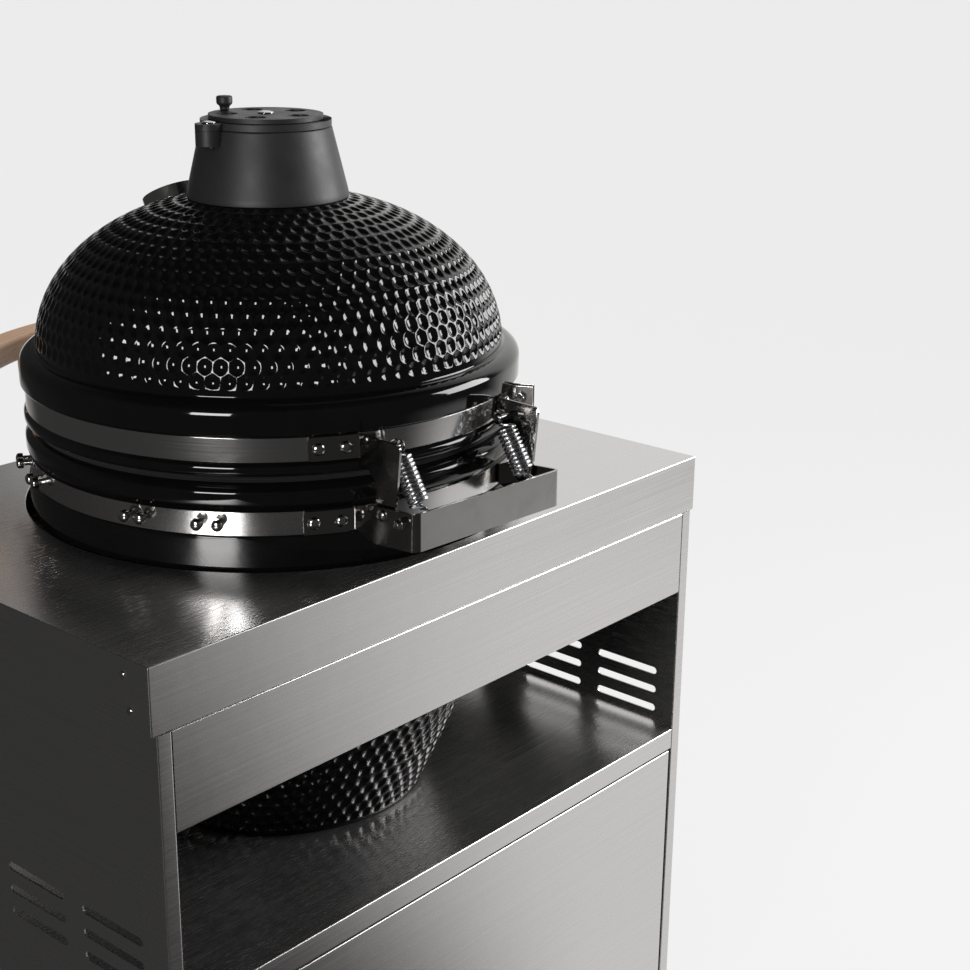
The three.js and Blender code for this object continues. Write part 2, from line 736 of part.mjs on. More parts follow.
function makeArms() {
  const top = bandTop(upperBandBottom);
  const near = tangentY(bandOuter + seatGap, armOffset - hingePlate / 2);
  const far = near + armWidth;
  for (const [name, side] of sides) {
    const x = [side * (armOffset - hingePlate / 2), side * (armOffset + hingePlate / 2)]
      .sort((a, b) => a - b);
    const points = [
      [near, upperBandBottom], [near, top],
      ...arc(far - armRound, top - armRound, armRound, 90, 0, 3),
      [far - armTaper, hingeZ + armEndRadius],
      ...arc(hingeY, hingeZ, armEndRadius, 0, -180, 6),
      [hingeY - armEndRadius - armTaper / 2, upperBandBottom - armShoulderDrop]];
    const from = tabStart(armOffset);
    const to = from + (side > 0 ? armTabAngle : shortArmTabAngle);
    const angles = [from * side, to * side].sort((a, b) => a - b);
    const inner = bandOuter + seatGap;
    const tab = sectorPlate(inner, inner + hingePlate, ...angles, upperBandBottom, top);
    const studIn = side * (springOffset - springWire / 2 - 2 * hingePlate);
    const studEnds = [studIn, side * armOffset].sort((a, b) => a - b);
    const capEnds = [studIn, studIn + side * hingePlate].sort((a, b) => a - b);
    const bore = barX(hingeBoltRadius + pinClearance, x[0] - overrun, x[1] + overrun, hingeY, hingeZ);
    const arm = without(
      joined(prismX(points, ...x), tab, barX(studRadius, ...studEnds, studY, studZ),
        barX(studFlange, ...capEnds, studY, studZ)),
      bore);
    place(kamado, `hinge_arm_${name}`, arm, polishedSteel);
  }
}

// Hinge bracket: one folded plate, tabs on the lower band, ears and a back plate
const earOutlineShares = [
  [0, 0.2], [0, 0.7], [0.24, 0.87], [1, 1], [1, 0.12], [0.88, 0.1], [0.31, 0], [0.16, 0.14]];
const earHeight = 46;
const earDrop = 6.8;
const earBottom = lowerBandBottom - earDrop;

function makeBracket() {
  const inner = bandOuter + seatGap;
  const near = tangentY(inner, earOffset - hingePlate / 2);
  const span = backPlateY - near;
  const half = earOffset + hingePlate / 2;
  const bend = backPlateBend;
  const line = [
    [-half, near],
    ...arc(bend - half, backPlateY - bend, bend, 180, 90, 3),
    ...arc(half - bend, backPlateY - bend, bend, 90, 0, 3),
    [half, near]];
  const high = earBottom + earHeight;
  const fold = prism(folded(line, hingePlate), earBottom - overrun, high + overrun);
  const side = prismX(
    earOutlineShares.map(([u, v]) => [near - seatGap + (span + 2 * seatGap) * u, earBottom + earHeight * v]),
    -half - overrun, half + overrun);
  const tabs = [1, -1].map((s) => {
    const from = tabStart(earOffset);
    const angles = [from * s, (from + earTabAngle) * s].sort((a, b) => a - b);
    return sectorPlate(inner, inner + hingePlate, ...angles, lowerBandBottom, bandTop(lowerBandBottom));
  });
  const through = half + overrun;
  const body = without(
    joined(common(fold, side), ...tabs),
    barX(hingeBoltRadius + pinClearance, -through, through, hingeY, hingeZ),
    barX(springRodRadius + pinClearance, -through, through, springRodY, springRodZ));
  place(kamado, "hinge_bracket", body, polishedSteel);
}

function makeHingeFasteners() {
  const face = earOffset + hingePlate / 2 + seatGap;
  const inside = armOffset - hingePlate / 2 - seatGap;
  for (const [name, side] of sides) {
    const bar = (radius, a, b, steps) =>
      barX(radius, ...[side * a, side * b].sort((p, q) => p - q), hingeY, hingeZ, steps);
    const bolt = joined(
      bar(hingeBoltRadius, inside - boltHead, face + boltHead),
      bar(boltHeadRadius, face, face + boltHead),
      bar(boltHeadRadius, inside - boltHead, inside, boltSides));
    place(kamado, `hinge_bolt_${name}`, bolt, polishedSteel);
  }
  const end = face + 2 * boltHead;
  const rod = joined(
    barX(springRodRadius, -end, end, springRodY, springRodZ),
    barX(boltHeadRadius, -face - boltHead, -face, springRodY, springRodZ, boltSides),
    barX(boltHeadRadius, face, face + boltHead, springRodY, springRodZ, boltSides));
  place(kamado, "spring_rod", rod, polishedSteel);
}

// Springs: close-wound wire with a loop at each end, hooked over stud and rod
function springPoints(x) {
  const top = new THREE.Vector3(x, studY, studZ);
  const low = new THREE.Vector3(x, springRodY, springRodZ);
  const along = low.clone().sub(top).normalize();
  const across = new THREE.Vector3(1, 0, 0);
  const side = new THREE.Vector3().crossVectors(along, across);
  const span = low.distanceTo(top);
  const seatTop = springLoopRadius - springWire / 2 - studRadius - hookGap;
  const seatLow = springLoopRadius - springWire / 2 - springRodRadius - hookGap;
  const coil = span - 2 * springLead;
  const at = (s, a, b) => top.clone()
    .addScaledVector(along, s).addScaledVector(across, a).addScaledVector(side, b);
  const points = [];
  const loopAngle = (i) => (springLoopStart + (springLoopAngle * i) / springLoopSteps) * degrees;
  for (let i = 0; i <= springLoopSteps; i += 1) {
    const angle = loopAngle(i);
    points.push(at(seatTop - springLoopRadius * Math.cos(angle), 0, springLoopRadius * Math.sin(angle)));
  }
  for (let i = 1; i < springCurls * curlSteps; i += 1) {
    const angle = Math.PI + (2 * Math.PI * i) / curlSteps;
    points.push(at(springLead + (coil * i) / (springCurls * curlSteps),
      springRadius * Math.cos(angle), springRadius * Math.sin(angle)));
  }
  for (let i = springLoopSteps; i >= 0; i -= 1) {
    const angle = loopAngle(i);
    points.push(at(span - seatLow + springLoopRadius * Math.cos(angle), 0,
      -springLoopRadius * Math.sin(angle)));
  }
  return points;
}

function leastGap(path, diameter) {
  const samples = path.getSpacedPoints(gapSamples);
  const apart = Math.ceil((3 * diameter * gapSamples) / path.getLength());
  let least = Infinity;
  samples.forEach((p, i) => {
    for (let j = i + apart; j < samples.length; j += 1) least = Math.min(least, p.distanceTo(samples[j]));
  });
  return least - diameter;
}

function makeSprings() {
  for (const [name, side] of sides) {
    const path = new THREE.CatmullRomCurve3(springPoints(side * springOffset));
    const section = outline(Array.from({ length: wireSides }, (_, i) => {
      const angle = (2 * Math.PI * i) / wireSides;
      return [(springWire / 2) * Math.cos(angle), (springWire / 2) * Math.sin(angle)];
    }));
    const steps = Math.round((path.getLength() * curlSteps) / (2 * Math.PI * springRadius));
    const wire = new THREE.ExtrudeGeometry(section, { steps, extrudePath: path, bevelEnabled: false });
    console.log(`hinge_spring_${name}: least gap to itself ${leastGap(path, springWire).toFixed(2)} mm`);
    place(kamado, `hinge_spring_${name}`, wire, polishedSteel);
  }
}

// Chimney: cast collar on the dome, a plate that swings aside, a daisy wheel on it
function makeChimney() {
  const seat = (radius) => domeAt(domeAngleAt(radius))[1] + seatGap;
  const neck = ventHoleRadius - 2 * seatGap;
  const lowest = seat(collarBaseRadius);
  const top = lowest + collarHeight;
  const earX = collarTopRadius + ventPinRadius;
  const body = turned([
    [collarBaseRadius, lowest], [collarTopRadius, top], [collarTopRadius - collarWall, top],
    [neck - collarWall, seat(ventHoleRadius)], [neck - collarWall, seat(ventHoleRadius) - collarNeck],
    [neck, seat(ventHoleRadius) - collarNeck], [neck, seat(ventHoleRadius)],
    [(neck + collarBaseRadius) / 2, seat((neck + collarBaseRadius) / 2)], [collarBaseRadius, lowest]],
  innerSteps);
  const ear = barZ(ventPinRadius + collarWall, earX, 0, top - collarNeck, top, roundSteps);
  const throat = barZ(collarTopRadius - sheet, 0, 0, top - collarNeck - overrun, top + overrun, innerSteps);
  const pinBore = barZ(ventPinRadius + pinClearance, earX, 0, top - collarNeck - overrun, top + overrun);
  place(kamado, "chimney_collar", without(joined(body, without(ear, throat)), pinBore), castIron);

  const plateLow = top + seatGap;
  const plateTop = plateLow + ventPlateThickness;
  const wheelLow = plateTop + seatGap;
  const wheelTop = wheelLow + ventWheelThickness;
  const petals = (bottom, height) => Array.from({ length: ventPetals }, (_, i) => {
    const angle = (2 * Math.PI * i) / ventPetals + Math.PI;
    const circle = ventWheelRadius - ventPetalInset;
    const [x, y] = [circle * Math.cos(angle), circle * Math.sin(angle)];
    return barZ(ventPetalRadius, x, y, bottom - overrun, height + overrun);
  });
  const plate = joined(
    barZ(collarTopRadius, 0, 0, plateLow, plateTop, innerSteps),
    barZ(ventPinRadius + collarWall, earX, 0, plateLow, plateTop, roundSteps));
  const rivetRadius = ventKnobRadius / 2;
  place(kamado, "vent_plate", without(plate, ...petals(plateLow, plateTop),
    barZ(ventPinRadius + pinClearance, earX, 0, plateLow - overrun, plateTop + overrun),
    barZ(rivetRadius + pinClearance, 0, 0, plateLow - overrun, plateTop + overrun)), castIron);
  const knobReach = ventWheelRadius - ventKnobRadius;
  const knobAngle = (-2 * Math.PI) / ventPetals;
  const wheel = joined(
    without(barZ(ventWheelRadius, 0, 0, wheelLow, wheelTop, innerSteps), ...petals(wheelLow, wheelTop),
      barZ(rivetRadius + pinClearance, 0, 0, wheelLow - overrun, wheelTop + overrun)),
    barZ(ventKnobRadius, knobReach * Math.cos(knobAngle), knobReach * Math.sin(knobAngle),
      wheelTop - sheet, wheelTop + ventKnobHeight));
  place(kamado, "vent_wheel", wheel, castIron);
  const rivet = joined(
    barZ(rivetRadius, 0, 0, plateLow, wheelTop + seatGap + sheet),
    barZ(ventKnobRadius, 0, 0, wheelTop + seatGap, wheelTop + seatGap + sheet));
  place(kamado, "vent_rivet", rivet, polishedSteel);
  const pin = joined(
    barZ(ventPinRadius, earX, 0, top - collarNeck, plateTop + seatGap + sheet),
    barZ(ventPinRadius + overrun / 2, earX, 0, plateTop + seatGap, plateTop + seatGap + sheet));
  place(kamado, "vent_pin", pin, polishedSteel);
}

// Lid handle: curved wooden bar on two steel brackets from the upper band
function makeHandle() {
  const depth = handleHeight - 2 * handleRound;
  const bevel = {
    depth, bevelEnabled: true, bevelThickness: handleRound, bevelSize: handleRound,
    bevelOffset: -handleRound, bevelSegments: 2, curveSegments: handleSteps };
  const bar = new THREE.ExtrudeGeometry(
    sector(handleInner, handleOuter, 180 - handleHalfAngle, 180 + handleHalfAngle), bevel)
    .translate(0, 0, handleBottom + handleRound);
  place(kamado, "lid_handle", bar, lightWood);
  const inner = bandOuter + seatGap;
  const top = bandTop(upperBandBottom);
  const flangeOut = handleInner * Math.cos((handleHalfAngle / (2 * handleSteps)) * degrees) - seatGap;
  const middle = handleBottom + handleHeight / 2;
  const low = middle - handleFlangeHeight / 2;
  for (const [name, side] of sides) {
    const angle = 180 - side * handleBracketAngle;
    const tab = sectorPlate(inner, inner + hingePlate,
      angle - handleTabHalfAngle, angle + handleTabHalfAngle, upperBandBottom, top);
    const plate = prismX([
      [inner + hingePlate / 2, upperBandBottom], [flangeOut - hingePlate / 2, low],
      [flangeOut - hingePlate / 2, low + handleFlangeHeight], [inner + hingePlate / 2, top]],
    -hingePlate / 2, hingePlate / 2);
    const half = handleFlange / 2;
    const drop = handleInner - Math.sqrt(handleInner * handleInner - half * half);
    const flange = between(
      [-half, flangeOut - hingePlate - drop, low],
      [half, flangeOut - drop, low + handleFlangeHeight]);
    const bracket = joined(tab, atAngle(plate, angle), atAngle(flange, angle));
    place(kamado, `handle_bracket_${name}`, bracket, polishedSteel);
  }
}

// Draft door: curved plates in two tracks of a frame round the air inlet
function makeDraftDoor() {
  const low = draftLow;
  const high = low + draftHeight;
  const railLow = low - draftLap;
  const railHigh = high + draftLap;
  const draftRadius = bellyAt(railHigh + draftTrack) + draftStandoff;
  const halfAngle = Math.asin(draftWidth / 2 / draftRadius) / degrees;
  const plateHalf = halfAngle + draftLapAngle;
  const frameFrom = 180 - plateHalf - draftTravelAngle - draftGauge;
  const frameTo = 180 + plateHalf + draftGauge;
  const screenIn = draftRadius + draftGauge + seatGap;
  const doorIn = screenIn + draftGauge + seatGap;
  const lipIn = doorIn + draftGauge + seatGap;
  const out = lipIn + draftGauge;
  const plate = (inner, outer, bottom, top) =>
    sectorPlate(inner, outer, frameFrom, frameTo, bottom, top, draftSteps);
  const sleeveBox = between(
    [draftGauge / 2 - draftWidth / 2, -draftRadius - overrun, low + seatGap],
    [draftWidth / 2 - draftGauge / 2, wall - bellyAt(high), high - seatGap]);
  const sleeveOuter = common(
    sleeveBox, barZ(draftRadius + draftGauge / 2, 0, 0, railLow, railHigh, turnSteps));
  const sleeveInner = between(
    [2 * draftGauge - draftWidth / 2, -draftRadius - 4 * overrun, low + 2 * draftGauge],
    [draftWidth / 2 - 2 * draftGauge, 0, high - 2 * draftGauge]);
  const frame = without(
    joined(
      plate(draftRadius, draftRadius + draftGauge, railLow - draftTrack, railHigh + draftTrack),
      plate(draftRadius, out, railLow - draftTrack, railLow),
      plate(draftRadius, out, railHigh, railHigh + draftTrack),
      plate(lipIn, out, railLow - draftTrack, low - seatGap),
      plate(lipIn, out, high + seatGap, railHigh + draftTrack),
      sleeveOuter),
    sleeveInner);
  place(kamado, "draft_frame", frame, polishedSteel);

  const leaf = (inner) => sectorPlate(inner, inner + draftGauge,
    180 - plateHalf, 180 + plateHalf, railLow + seatGap, railHigh - seatGap, draftSteps);
  const holes = [];
  for (let row = 1; row <= draftHoleRows; row += 1) {
    for (let column = 1; column <= draftHoleColumns; column += 1) {
      const z = low + (draftHeight * row) / (draftHoleRows + 1);
      const tool = barY(draftHoleRadius, 0, draftRadius, draftRadius + 2 * overrun, z, boltSides);
      const share = (2 * column) / (draftHoleColumns + 1) - 1;
      holes.push(atAngle(tool, 180 + share * halfAngle));
    }
  }
  place(kamado, "draft_screen", without(leaf(screenIn), ...holes), polishedSteel);
  const knobAngle = 180 + plateHalf * draftKnobShare;
  const knobFoot = out + seatGap;
  const knob = barY(draftKnobRadius, 0, knobFoot, knobFoot + draftKnobLength, (low + high) / 2);
  const neck = barY(draftKnobRadius / 2, 0, doorIn, knobFoot + draftKnobLength / 2, (low + high) / 2);
  place(kamado, "draft_door", joined(leaf(doorIn), atAngle(joined(knob, neck), knobAngle)), polishedSteel);
}

// Inside: fire box on the base floor, fire ring on the box, grates on both
function makeInside() {
  const foot = standLevel + floorThickness + seatGap;
  const radiusAt = (z) => fireBoxFoot + (fireBoxRadius - fireBoxFoot)
    * Math.pow((z - foot) / (fireBoxTop - foot), fireBoxPower);
  const levels = fireBoxLevelShares.map((share) => foot + (fireBoxTop - foot) * share);
  const outer = levels.map((z) => [radiusAt(z), z]);
  const ledge = fireGrateRadius - fireGrateLedge;
  const boxFloor = foot + fireBoxWall;
  const profile = [
    [fireBoxAshRadius, foot], ...outer, [fireBoxRadius - fireBoxWall, fireBoxTop],
    [fireGrateRadius + 2 * seatGap, fireGrateLevel], [ledge, fireGrateLevel],
    [fireBoxFoot - fireBoxWall, boxFloor], [fireBoxAshRadius, boxFloor], [fireBoxAshRadius, foot]];
  const inlet = between(
    [-draftWidth / 2, -fireBoxRadius, boxFloor], [draftWidth / 2, 0, draftLow + draftHeight]);
  place(kamado, "fire_box", without(turned(profile, innerSteps), inlet), rawCeramic);
  place(kamado, "fire_ring", ring(fireBoxRadius - fireBoxWall, fireBoxRadius,
    fireBoxTop + seatGap, fireRingTop, innerSteps), rawCeramic);

  const [slotIn, slotOut] = fireGrateSlotShares.map((share) => fireGrateRadius * share);
  const slots = Array.from({ length: fireGrateSlots }, (_, i) => atAngle(between(
    [-fireGrateSlotWidth / 2, slotIn, fireGrateLevel - overrun],
    [fireGrateSlotWidth / 2, slotOut, fireGrateLevel + fireGrateThickness + overrun],
  ), (360 / fireGrateSlots) * i));
  const coal = barZ(fireGrateRadius, 0, 0, fireGrateLevel + seatGap,
    fireGrateLevel + fireGrateThickness, innerSteps);
  place(kamado, "charcoal_grate", without(coal, ...slots), castIron);

  const low = fireRingTop + seatGap;
  const bars = [];
  const count = Math.floor((cookRadius - cookRod) / cookPitch);
  for (let i = -count; i <= count; i += 1) {
    const x = i * cookPitch;
    const half = Math.sqrt((cookRadius - cookRod / 2) ** 2 - x * x);
    bars.push(barY(cookBar / 2, x, -half, half, low + cookRod - cookBar / 2, cookBarSides));
  }
  const rim = ring(cookRadius - cookRod, cookRadius, low, low + cookRod, innerSteps);
  const cross = between(
    [-cookRadius + cookRod / 2, -cookRod / 2, low], [cookRadius - cookRod / 2, cookRod / 2, low + cookBar]);
  place(kamado, "cooking_grate", joined(rim, cross, ...bars), polishedSteel);
}

makeWorktop();
makeEndPanels();
makeAprons();
makeTray("shelf", shelfTop, shelfLip);
makeTray("cabinet_floor", floorTop, floorLip);
makeBraces();
makeFeet();
makeRearPanel();
makeDoors();
makeBase();
makeGaskets();
makeLid();
makeThermometer();
makeBand("lower_band", lowerBandBottom, lowerClampAngle, boltPairAngles.flatMap((angle) => [angle, -angle]));
makeBand("upper_band", upperBandBottom, upperClampAngle, []);
makeArms();
makeBracket();
makeHingeFasteners();
makeSprings();
makeChimney();
makeHandle();
makeDraftDoor();
makeInside();

// The origin is the middle of the object's footprint box, on the floor
const bounds = new THREE.Box3().setFromObject(table, true);
const middle = bounds.getCenter(new THREE.Vector3());
table.position.set(-middle.x, -middle.y, 0);

export default table;
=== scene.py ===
import json
import math

import bmesh
import bpy
from mathutils import Matrix, Vector


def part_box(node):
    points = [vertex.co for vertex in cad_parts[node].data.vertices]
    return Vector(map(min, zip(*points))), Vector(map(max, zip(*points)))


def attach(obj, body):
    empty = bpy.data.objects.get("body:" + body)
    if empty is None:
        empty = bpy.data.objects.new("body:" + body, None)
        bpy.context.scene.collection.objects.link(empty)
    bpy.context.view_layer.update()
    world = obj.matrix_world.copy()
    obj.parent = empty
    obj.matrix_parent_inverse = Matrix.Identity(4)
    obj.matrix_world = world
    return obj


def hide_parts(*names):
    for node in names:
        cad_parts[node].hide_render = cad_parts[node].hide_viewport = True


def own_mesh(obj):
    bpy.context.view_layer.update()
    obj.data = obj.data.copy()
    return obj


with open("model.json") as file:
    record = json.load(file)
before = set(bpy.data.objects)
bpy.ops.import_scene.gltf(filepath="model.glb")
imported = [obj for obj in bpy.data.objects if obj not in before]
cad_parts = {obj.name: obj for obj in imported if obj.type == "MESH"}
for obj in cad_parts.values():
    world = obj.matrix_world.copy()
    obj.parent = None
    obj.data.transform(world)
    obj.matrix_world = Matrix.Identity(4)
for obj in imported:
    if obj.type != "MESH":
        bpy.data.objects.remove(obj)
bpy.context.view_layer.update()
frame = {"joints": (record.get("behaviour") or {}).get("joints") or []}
bpy.ops.object.select_all(action="DESELECT")


# Levelling feet
# Rubber-shod pads turned on a lathe, each on a threaded steel stem that is screwed up
# through the cabinet floor. One foot is modelled and copied to the four corners.
def linear(code):
    """An sRGB hex colour as linear values with alpha."""
    shares = [int(code[i:i + 2], 16) / 255 for i in (1, 3, 5)]
    return [s / 12.92 if s <= 0.04045 else ((s + 0.055) / 1.055) ** 2.4 for s in shares] + [1]


def add(tree, kind, settings=None, links=None):
    """Adds a shader node, with settings by socket or property name and links into its sockets."""
    made = tree.nodes.new("ShaderNode" + kind)
    for name, value in (settings or {}).items():
        if isinstance(name, int) or name in made.inputs:
            made.inputs[name].default_value = value
        else:
            setattr(made, name, value)
    for name, source in (links or {}).items():
        tree.links.new(source, made.inputs[name])
    return made


def new_material(name):
    """An empty node material and its tree."""
    made = bpy.data.materials.new(name)
    made.use_nodes = True
    made.node_tree.nodes.clear()
    return made, made.node_tree


def edit(piece):
    """Selects one piece alone and opens it in edit mode."""
    bpy.ops.object.select_all(action="DESELECT")
    piece.select_set(True)
    bpy.context.view_layer.objects.active = piece
    bpy.ops.object.mode_set(mode="EDIT")


def close(piece):
    """Merges doubles, turns the faces of a closed piece outwards and leaves edit mode."""
    bpy.ops.mesh.select_all(action="SELECT")
    bpy.ops.mesh.remove_doubles(threshold=1e-6)
    bpy.ops.mesh.normals_make_consistent(inside=False)
    bpy.ops.object.mode_set(mode="OBJECT")
    return piece


def shaped_by(piece, kind, **settings):
    """Adds a modifier to a piece and applies it."""
    bpy.context.view_layer.objects.active = piece
    modifier = piece.modifiers.new(kind, kind)
    for name, value in settings.items():
        setattr(modifier, name, value)
    bpy.ops.object.modifier_apply(modifier=modifier.name)
    return piece


def smooth(piece, angle=35):
    """Shades a piece smooth up to an angle, with flat faces kept flat."""
    bpy.ops.object.select_all(action="DESELECT")
    piece.select_set(True)
    bpy.context.view_layer.objects.active = piece
    bpy.ops.object.shade_smooth_by_angle(angle=math.radians(angle))
    return shaped_by(piece, "WEIGHTED_NORMAL", keep_sharp=True)


def drawn(name, points, edges, faces=()):
    """A new piece from points, lines and faces, to be shaped further in edit mode."""
    mesh = bpy.data.meshes.new(name)
    mesh.from_pydata([tuple(point) for point in points], edges, faces)
    piece = bpy.data.objects.new(name, mesh)
    bpy.context.scene.collection.objects.link(piece)
    return piece


def rounded(points, radius, steps=3, closed=False):
    """A line of 2-D points with its corners rounded, as far as half of the shorter side."""
    line = []
    for i, point in enumerate(points):
        if not closed and i in (0, len(points) - 1):
            line.append(tuple(point))
            continue
        here = Vector(point)
        ways = [Vector(points[i - 1]) - here, Vector(points[(i + 1) % len(points)]) - here]
        reach = min([radius] + [way.length / 2 for way in ways])
        start, end = [here + way.normalized() * reach for way in ways]
        for step in range(steps + 1):
            t = step / steps
            line.append(tuple(start * (1 - t) ** 2 + here * 2 * t * (1 - t) + end * t * t))
    return line


def turned(name, profile, steps, closed=False):
    """A piece spun round the Z axis from a profile of (radius, height) points."""
    edges = [(i, i + 1) for i in range(len(profile) - 1)]
    if closed:
        edges.append((len(profile) - 1, 0))
    piece = drawn(name, [(r, 0, z) for r, z in profile], edges)
    edit(piece)
    bpy.ops.mesh.select_all(action="SELECT")
    bpy.ops.mesh.spin(steps=steps, angle=math.tau, center=(0, 0, 0), axis=(0, 0, 1))
    return close(piece)


def copied(piece, name, place):
    """A copy of a piece with its own mesh, moved by a matrix."""
    twin = piece.copy()
    twin.data = piece.data.copy()
    twin.name = name
    twin.data.transform(place)
    bpy.context.scene.collection.objects.link(twin)
    return twin


def joined(pieces, name):
    """Several pieces as one."""
    bpy.ops.object.select_all(action="DESELECT")
    for piece in pieces:
        piece.select_set(True)
    bpy.context.view_layer.objects.active = pieces[0]
    bpy.ops.object.join()
    pieces[0].name = name
    return pieces[0]


def dress(piece, body, material, slot, *nodes):
    """Gives a piece its material and its body, and lets it stand for its CAD nodes."""
    piece.data.materials.clear()
    piece.data.materials.append(material)
    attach(piece, body)
    if nodes:
        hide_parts(*nodes)
    return piece


def moulded_rubber():
    # Nitrile rubber moulded in a spark-eroded tool: dull, near black, with a fine even grain
    made, tree = new_material("moulded_rubber")
    place = add(tree, "TexCoord")
    grain = add(tree, "TexNoise", {"Scale": 1400, "Detail": 2}, {"Vector": place.outputs["Object"]})
    dust = add(tree, "TexNoise", {"Scale": 60, "Detail": 4}, {"Vector": place.outputs["Object"]})
    tone = add(tree, "Mix", {"data_type": "RGBA", 6: linear("#151516"), 7: linear("#2b2a29")},
               {0: dust.outputs["Fac"]})
    bump = add(tree, "Bump", {"Strength": 0.4, "Distance": 0.0002}, {"Height": grain.outputs["Fac"]})
    shader = add(tree, "BsdfPrincipled", {"Roughness": 0.75, "IOR": 1.52},
                 {"Base Color": tone.outputs[2], "Normal": bump.outputs[0]})
    add(tree, "OutputMaterial", links={"Surface": shader.outputs[0]})
    return made


rubber = moulded_rubber()
foot_low, foot_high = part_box("foot_front_left")
foot_radius = (foot_high.x - foot_low.x) / 2
foot_height = foot_high.z
pad_height = 0.014
stem_radius = 0.006
thread_pitch = 0.002
thread_depth = 0.0006

foot_profile = rounded(
    [(0, 0), (foot_radius - 0.002, 0), (foot_radius, 0.002), (foot_radius, pad_height / 2),
     (foot_radius / 2, pad_height), (stem_radius + 0.003, pad_height), (stem_radius + 0.003, 0.022),
     (stem_radius, 0.022)], 0.0015)
thread_count = int((foot_height - 0.024) / thread_pitch)
for turn in range(thread_count):
    height = 0.023 + turn * thread_pitch
    foot_profile += [(stem_radius, height), (stem_radius - thread_depth, height + thread_pitch / 2)]
foot_profile += [(stem_radius, foot_height), (0, foot_height)]
foot = turned("foot", foot_profile, 48)
smooth(foot)
for corner in ("front_left", "front_right", "rear_left", "rear_right"):
    low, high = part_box(f"foot_{corner}")
    place = Matrix.Translation(((low.x + high.x) / 2, (low.y + high.y) / 2, 0))
    dress(copied(foot, f"levelling_foot_{corner}", place), "root", rubber, "black_rubber", f"foot_{corner}")
bpy.data.objects.remove(foot)


# Shelf and cabinet floor
# Plates of brushed stainless sheet with deep front and rear lips, notched round the
# corner posts and welded between the end panels. The kamado stands on the shelf.
def round_the_kamado(tree):
    """Places wrapped round the kamado's axis: metres along the turn, outwards and up."""
    place = add(tree, "TexCoord")
    centred = add(tree, "VectorMath", {"operation": "SUBTRACT", 1: tuple(kamado_place.translation)},
                  {0: place.outputs["Object"]})
    parts = add(tree, "SeparateXYZ", links={"Vector": centred.outputs[0]})
    flat = add(tree, "CombineXYZ", links={"X": parts.outputs["X"], "Y": parts.outputs["Y"]})
    radius = add(tree, "VectorMath", {"operation": "LENGTH"}, {0: flat.outputs[0]})
    angle = add(tree, "Math", {"operation": "ARCTAN2"}, {0: parts.outputs["X"], 1: parts.outputs["Y"]})
    length = add(tree, "Math", {"operation": "MULTIPLY"}, {0: angle.outputs[0], 1: radius.outputs["Value"]})
    return add(tree, "CombineXYZ", links={
        "X": length.outputs[0], "Y": radius.outputs["Value"], "Z": parts.outputs["Z"]}).outputs[0]


def brushed_stainless(name="brushed_stainless", wrapped=False, gloss_from=0.2):
    # Austenitic stainless sheet, finished on a 180 grit belt: soft grey gloss, drawn out
    # along the belt lines, which run along X, or along Y on faces that look along X, and
    # along the turn on rolled strip. The real lines are 0.1 mm apart; they are drawn
    # 1.4 mm apart, to show at this size.
    made, tree = new_material(name)
    place = add(tree, "TexCoord")
    if wrapped:
        stretched = add(tree, "Mapping", {"Scale": (4, 700, 700)}, {"Vector": round_the_kamado(tree)})
        belt = add(tree, "TexNoise", {"Scale": 1, "Detail": 3, "Roughness": 0.6}, {"Vector": stretched.outputs[0]})
        up = add(tree, "CombineXYZ", {"Z": 1})
        line_way = add(tree, "VectorMath", {"operation": "CROSS_PRODUCT"}, {0: place.outputs["Normal"],
                                                                           1: up.outputs[0]})
    else:
        facing = add(tree, "SeparateXYZ", links={"Vector": place.outputs["Normal"]})
        sideways = add(tree, "Math", {"operation": "ABSOLUTE"}, {0: facing.outputs["X"]})
        turned_side = add(tree, "Math", {"operation": "GREATER_THAN", 1: 0.7}, {0: sideways.outputs[0]})
        belts = []
        for scale in ((4, 700, 700), (700, 4, 700)):
            stretched = add(tree, "Mapping", {"Scale": scale}, {"Vector": place.outputs["Object"]})
            belts.append(add(tree, "TexNoise", {"Scale": 1, "Detail": 3, "Roughness": 0.6},
                             {"Vector": stretched.outputs[0]}))
        belt = add(tree, "Mix", {}, {0: turned_side.outputs[0], 2: belts[0].outputs["Fac"],
                                     3: belts[1].outputs["Fac"]})
        across = add(tree, "Math", {"operation": "SUBTRACT", 0: 1}, {1: turned_side.outputs[0]})
        line_way = add(tree, "CombineXYZ", links={"X": across.outputs[0], "Y": turned_side.outputs[0]})
    handled = add(tree, "TexNoise", {"Scale": 7, "Detail": 3, "Roughness": 0.55},
                  {"Vector": place.outputs["Object"]})
    tone = add(tree, "Mix", {"data_type": "RGBA", 6: linear("#cbc9c8"), 7: linear("#d8d6d5")},
               {0: belt.outputs[0]})
    gloss = add(tree, "MapRange", {"From Min": 0.25, "From Max": 0.75, "To Min": gloss_from, "To Max": gloss_from + 0.06},
                {"Value": belt.outputs[0]})
    worn = add(tree, "Math", {"operation": "MULTIPLY_ADD", 1: 0.08}, {0: handled.outputs["Fac"],
                                                                    2: gloss.outputs[0]})
    wave = add(tree, "Bump", {"Strength": 0.2, "Distance": 0.002}, {"Height": handled.outputs["Fac"]})
    lines = add(tree, "Bump", {"Strength": 0.06, "Distance": 0.00003},
                {"Height": belt.outputs[0], "Normal": wave.outputs[0]})
    shader = add(tree, "BsdfPrincipled", {"Metallic": 1, "Anisotropic": 0.6, "Anisotropic Rotation": 0.25},
                 {"Base Color": tone.outputs[2], "Roughness": worn.outputs[0], "Normal": lines.outputs[0],
                  "Tangent": line_way.outputs[0]})
    add(tree, "OutputMaterial", links={"Surface": shader.outputs[0]})
    return made


